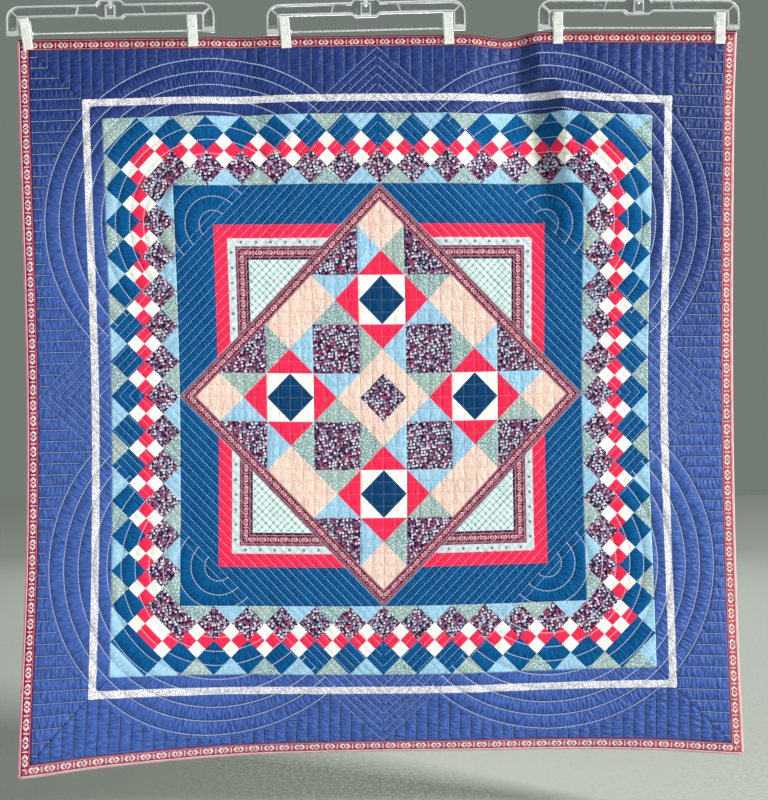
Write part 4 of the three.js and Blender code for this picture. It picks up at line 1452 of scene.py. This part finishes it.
# One jaw with its pad in front of the sheet: a fluted pad, a step, and a waffled finger end that leans out
def gripJaw(name, waffled):
    pad = jaw["bend"] - jaw["bottom"]
    middleY = -jaw["gap"] - jaw["thickness"] / 2
    deselectAll()
    bpy.ops.mesh.primitive_cube_add(size=1, location=(0, middleY, jaw["bottom"] + pad / 2),
                                    scale=(jaw["width"], jaw["thickness"], pad))
    piece = bpy.context.object
    piece.name = name
    applyPlace(piece)
    bpy.ops.object.mode_set(mode="EDIT")
    pickFaces(piece, lambda middle, normal: normal.z > 0.5)
    bpy.ops.mesh.extrude_region_move(
        TRANSFORM_OT_translate={"value": (0, -jaw["flare"] + jaw["bendStep"], jaw["top"] - jaw["bend"])})
    bpy.ops.transform.resize(value=(1, jaw["tipTaper"], 1))
    pickFaces(piece, lambda middle, normal: normal.z < -0.5)
    bpy.ops.transform.resize(value=(1, jaw["endTaper"], 1))
    bpy.ops.transform.translate(value=(0, (1 - jaw["endTaper"]) / 2 * jaw["thickness"], 0))
    inside = jaw["width"] / 2 - jaw["margin"]
    for x in np.linspace(-inside, inside, jaw["columns"] + 1):
        cutAcross((x, 0, 0), (1, 0, 0))
    low, high, rowCount = jaw["waffle"]
    levels = np.linspace(low, high, rowCount + 1) if waffled else (high,)
    for z in (*levels, jaw["flutes"][0], jaw["flutes"][1], jaw["teeth"]):
        cutAcross((0, 0, z), (0, 0, 1))
    isFront = lambda middle, normal: normal.y < jaw["facing"] and abs(middle.x) < inside
    if waffled:
        pickFaces(piece, lambda m, n: isFront(m, n) and low < m.z < high)
        bpy.ops.mesh.inset(thickness=jaw["groove"], use_individual=True)
        bpy.ops.transform.translate(value=(0, -jaw["waffleDepth"], 0))
        pickFaces(piece, lambda m, n: n.y < jaw["facing"] and jaw["flutes"][1] < m.z < low)
        bpy.ops.mesh.extrude_region_move(TRANSFORM_OT_translate={"value": (0, -jaw["step"], 0)})
    fluteTop = jaw["flutes"][1] if waffled else high
    pickFaces(piece, lambda m, n: isFront(m, n) and jaw["flutes"][0] < m.z < fluteTop)
    bpy.ops.mesh.inset(thickness=jaw["groove"], use_individual=True)
    bpy.ops.transform.translate(value=(0, -jaw["fluteDepth"], 0))
    pickFaces(piece, lambda m, n: isFront(m, n) and jaw["teeth"] < m.z < jaw["flutes"][0])
    bpy.ops.mesh.inset(thickness=jaw["toothInset"], use_individual=True)
    bpy.ops.transform.translate(value=(0, -jaw["toothHeight"], 0))
    bpy.ops.object.mode_set(mode="OBJECT")
    roundEdges(piece, jaw["round"])
    piece.data.materials.append(milkyPlastic)
    return piece


collar = {
    "from": 0.0096,
    "to": 0.0111,
    "radius": 0.0036,
    "bore": 0.00205,
    "tabAside": 0.0091,
    "tabWidth": 0.0039,
    "tabHeight": 0.004,
    "round": 0.0003,
}


# Collar and its tab, which join the back jaw to the bar on the side towards the hub
def barCollar(name, hubSide, lean):
    middle = hubSide * (collar["from"] + collar["to"]) / 2
    deselectAll()
    bpy.ops.mesh.primitive_cylinder_add(
        vertices=32, radius=collar["radius"], depth=collar["to"] - collar["from"], end_fill_type="NOTHING",
        location=(middle, 0, 0), rotation=(0, math.radians(90), 0))
    ring = bpy.context.object
    ring.name = name
    applyPlace(ring)
    ring.data.transform(Matrix.Rotation(math.radians(lean), 4, "Y"))
    applyModifier(ring, "SOLIDIFY", thickness=collar["radius"] - collar["bore"], offset=-1)
    bpy.ops.mesh.primitive_cube_add(
        size=1, scale=(collar["tabWidth"], jaw["thickness"], collar["tabHeight"]),
        location=(hubSide * collar["tabAside"], jaw["gap"] + jaw["thickness"] / 2,
                  -middle * math.sin(math.radians(lean))))
    tab = bpy.context.object
    applyPlace(tab)
    ring.select_set(True)
    bpy.context.view_layer.objects.active = ring
    bpy.ops.object.join()
    roundEdges(ring, collar["round"])
    return ring


def copyOf(piece, name):
    made = piece.copy()
    made.data = piece.data.copy()
    made.name = name
    bpy.context.scene.collection.objects.link(made)
    return made


def hangerPlace(hanger):
    shift = Matrix.Translation((hanger["seatX"] - originX, 0, 0))
    return shift @ Matrix.Rotation(-math.radians(hanger["tilt"]), 4, "Y")


moulding = {
    "ribFrom": 0.0535,  # from the middle of the hub
    "ribTo": 0.0645,
    "joined": 0.00001,
    "flatEdges": 1,  # degrees
    "round": 0.00045,
    "halfWeb": 0.0011,
    "webFacing": 0.99,
}


# The rib on each side of the hub leans in towards it at the top
def leanRibsIn(piece, place):
    piece.data.transform(place.inverted())
    least, most = moulding["ribFrom"], moulding["ribTo"]
    for side in (-1, 1):
        rib = [v for v in piece.data.vertices if least < side * v.co.x < most]
        x, z = np.array([(v.co.x, v.co.z) for v in rib]).T
        lean = np.polyfit(z, x, 1)[0]
        for v in rib:
            v.co.x -= 2 * lean * (v.co.z - z.mean())
    piece.data.transform(place)


# A finer copy of a moulded frame. Its loose triangles are joined, its flat faces cleaned and its edges
# rounded, and its thin web is clearer than its rim, which is made milky white as painted light for the light
# caught inside the clear ribs.
def mouldedFrame(hanger):
    node = f"{hanger['side']}_hanger_frame"
    piece = copyOf(frame["nodes"][node], f"{hanger['side']}_hanger_moulding")
    piece.parent = None
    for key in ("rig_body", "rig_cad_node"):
        if key in piece:
            del piece[key]
    piece.hide_render = False
    piece.hide_viewport = False
    makeActive(piece)
    bpy.ops.object.mode_set(mode="EDIT")
    bpy.ops.mesh.select_all(action="SELECT")
    bpy.ops.mesh.remove_doubles(threshold=moulding["joined"])
    bpy.ops.mesh.dissolve_limited(angle_limit=math.radians(moulding["flatEdges"]))
    bpy.ops.object.mode_set(mode="OBJECT")
    leanRibsIn(piece, hangerPlace(hanger))
    roundEdges(piece, moulding["round"])
    piece.data.materials.clear()
    piece.data.materials.append(rimWithPaintedLight)
    piece.data.materials.append(clearWeb)
    for face in piece.data.polygons:
        isWeb = abs(face.center.y) < moulding["halfWeb"] and abs(face.normal.y) > moulding["webFacing"]
        face.material_index = 1 if isWeb else 0
    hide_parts(node)
    return piece


hangerPieces = []
waffledJaw = gripJaw("waffledJaw", True)
ribbedJaw = gripJaw("ribbedJaw", False)
for clip in clips:
    hanger = next(h for h in hangers if h["side"] == clip["on"])
    place = hangerPlace(hanger) @ Matrix.Translation((clip["x"], 0, -hanging["barDrop"]))
    place = place @ Matrix.Rotation(-math.radians(clip["lean"]), 4, "Y")
    label = f"{clip['on']}_hanger_{clip['side']}_clip"
    hubSide = -1 if clip["x"] > 0 else 1
    for end in ("front", "back"):
        plain = clip["on"] == "left" and clip["side"] == "left" and end == "front"
        piece = copyOf(ribbedJaw if plain else waffledJaw, f"{label}_{end}_grip")
        if end == "back":
            piece.data.transform(Matrix.Scale(-1, 4, (0, 1, 0)))
            piece.data.flip_normals()
            ring = barCollar("collar", hubSide, clip["lean"])
            ring.select_set(True)
            piece.select_set(True)
            bpy.context.view_layer.objects.active = piece
            bpy.ops.object.join()
        piece.data.transform(place)
        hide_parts(f"{label}_{end}_jaw")
        hangerPieces.append(piece)
for spare in (waffledJaw, ribbedJaw):
    bpy.data.objects.remove(spare)
print("clips", len(hangerPieces))

steelWire = {"radius": 0.00175, "sides": 24}
hookShape = {
    "radius": 0.021,
    "headTop": 0.045 - hanging["barDrop"],  # in the hub, above the bar
    "shankBottom": -0.058,
    "sunk": 0.002,
    "bendAbove": 0.006,
    "neck": (0.0022, -0.0445),
    "bend": (-62, 205, 20.5),  # degrees from, to and between its points
    "tip": (0.0015, 0.013),  # beyond the bend, and below its centre
    "steps": 90,
    "headRadius": 0.0032,
    "headHeight": 0.003,
    "headRound": 0.0005,
}
barEnds = {"socketInset": 0.021, "socketDepth": 0.0157, "round": 0.0004}


# Centre line of the hook's wire in y and z, as a smooth curve through its points
def hookLine():
    centre = steelWire["radius"] - hookShape["radius"]
    top, bottom = hookShape["headTop"], hookShape["shankBottom"]
    shank = (top - hookShape["sunk"], (top + bottom) / 2, bottom, bottom + hookShape["bendAbove"])
    points = [(0, z) for z in shank] + [hookShape["neck"]]
    angle, last, step = hookShape["bend"]
    while angle <= last:
        turn = math.radians(angle)
        points.append((hookShape["radius"] * math.cos(turn), centre + hookShape["radius"] * math.sin(turn)))
        angle += step
    points.append((-hookShape["radius"] - hookShape["tip"][0], centre - hookShape["tip"][1]))
    return np.array(points)


def wireHook(name):
    points = hookLine()
    at = np.concatenate([[0], np.cumsum(np.linalg.norm(np.diff(points, axis=0), axis=1) ** 0.5)])
    fine = np.linspace(0, at[-1], hookShape["steps"])
    ys, zs = throughStations(at, points[:, 0], fine), throughStations(at, points[:, 1], fine)
    curve = bpy.data.curves.new(name, "CURVE")
    curve.dimensions = "3D"
    curve.bevel_depth = steelWire["radius"]
    curve.bevel_resolution = steelWire["sides"] // 4 - 1
    curve.use_fill_caps = True
    line = curve.splines.new("POLY")
    line.points.add(len(fine) - 1)
    for point, y, z in zip(line.points, ys, zs):
        point.co = (0, y, z, 1)
    piece = bpy.data.objects.new(name, curve)
    bpy.context.scene.collection.objects.link(piece)
    makeActive(piece)
    bpy.ops.object.convert(target="MESH")
    piece = bpy.context.object
    top = hookShape["headTop"]
    bpy.ops.mesh.primitive_cylinder_add(
        vertices=32, radius=hookShape["headRadius"], depth=hookShape["headHeight"],
        location=(0, 0, top - hookShape["headHeight"] / 2))
    head = bpy.context.object
    applyPlace(head)
    roundEdges(head, hookShape["headRound"])
    piece.select_set(True)
    bpy.context.view_layer.objects.active = piece
    bpy.ops.object.join()
    makeActive(piece)
    bpy.ops.object.shade_smooth_by_angle(angle=math.radians(40))
    return piece


def plainBar(name, length):
    deselectAll()
    bpy.ops.mesh.primitive_cylinder_add(
        vertices=32, radius=steelWire["radius"], depth=length, rotation=(0, math.radians(90), 0),
        location=(0, 0, -hanging["barDrop"]))
    piece = bpy.context.object
    piece.name = name
    applyPlace(piece)
    roundEdges(piece, barEnds["round"])
    return piece


for hanger in hangers:
    side = hanger["side"]
    body = mouldedFrame(hanger)
    wireEnd = wireHook(f"{side}_hanger_wire")
    barLength = hanger["width"] - 2 * barEnds["socketInset"] + 2 * barEnds["socketDepth"]
    bar = plainBar(f"{side}_hanger_rod", barLength)
    for piece, node in ((wireEnd, "hook"), (bar, "bar")):
        piece.data.transform(hangerPlace(hanger))
        piece.data.materials.clear()
        piece.data.materials.append(brightSteel)
        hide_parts(f"{side}_hanger_{node}")
    hangerPieces += [body, wireEnd, bar]
for nodeName, node in frame["nodes"].items():
    if nodeName.endswith("spring"):
        node.data.materials.clear()
        node.data.materials.append(brightSteel)
print("hangers finished", len(hangerPieces))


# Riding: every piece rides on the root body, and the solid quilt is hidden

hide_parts("quilt_body")
quiltPieces = [quiltCentre, piecedRing, quiltBorder, quiltBacking, centreStitches, outerStitches]
for piece in quiltPieces + bands + hangerPieces:
    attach(piece, "root")


# Floor, light and camera

stage = {
    "floorSize": 14,
    "floorDrop": 0.10,
    "floorColour": (202, 208, 200),
    "floorRoughness": 0.8,
    "worldColour": (184, 196, 187),
    "worldStrength": 0.36,
}
low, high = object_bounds()
deselectAll()
bpy.ops.mesh.primitive_plane_add(size=stage["floorSize"], location=(originX, 0, low.z - stage["floorDrop"]))
floor = bpy.context.object
floor.name = "floor"
floor.data.materials.append(plasticMaterial("floorPaint", stage["floorColour"], stage["floorRoughness"], 0.0))

world = bpy.data.worlds.new("studio")
bpy.context.scene.world = world
world.use_nodes = True
world.node_tree.nodes["Background"].inputs["Color"].default_value = srgb(*stage["worldColour"])
world.node_tree.nodes["Background"].inputs["Strength"].default_value = stage["worldStrength"]


lights = [
    {"name": "keyLight", "place": (7.2, -3.7, 2.4), "size": (1.6, 1.6), "power": 1000},
    {"name": "fillLight", "place": (-1.3, -1.7, -1.0), "size": (1.0, 0.6), "power": 10},
    {"name": "lowLight", "place": (0.0, -2.3, -1.0), "size": (1.2, 0.5), "power": 7},
    {"name": "backLight", "place": (0.0, 3.6, -0.2), "size": (1.4, 0.8), "power": 26},
]
middleOfQuilt = Vector((-originX, 0, -hanging["seatHeight"]))
for light in lights:
    lamp = bpy.data.lights.new(light["name"], "AREA")
    lamp.shape = "RECTANGLE"
    lamp.size, lamp.size_y = light["size"]
    lamp.energy = light["power"]
    made = bpy.data.objects.new(light["name"], lamp)
    bpy.context.scene.collection.objects.link(made)
    made.location = light["place"]
    made.rotation_euler = (middleOfQuilt - Vector(light["place"])).to_track_quat("-Z", "Y").to_euler()
bpy.context.scene.view_settings.view_transform = "Standard"

camera = {"distance": 2.1, "lens": 55.6, "sensor": 36, "roll": 0.48}
lens = bpy.data.cameras.new("camera")
lens.lens = camera["lens"]
lens.sensor_width = camera["sensor"]
lens.sensor_fit = "HORIZONTAL"
view = bpy.data.objects.new("camera", lens)
bpy.context.scene.collection.objects.link(view)
view.location = (-originX, -camera["distance"], -hanging["seatHeight"])
view.rotation_euler = (math.radians(90), math.radians(camera["roll"]), 0)
bpy.context.scene.camera = view
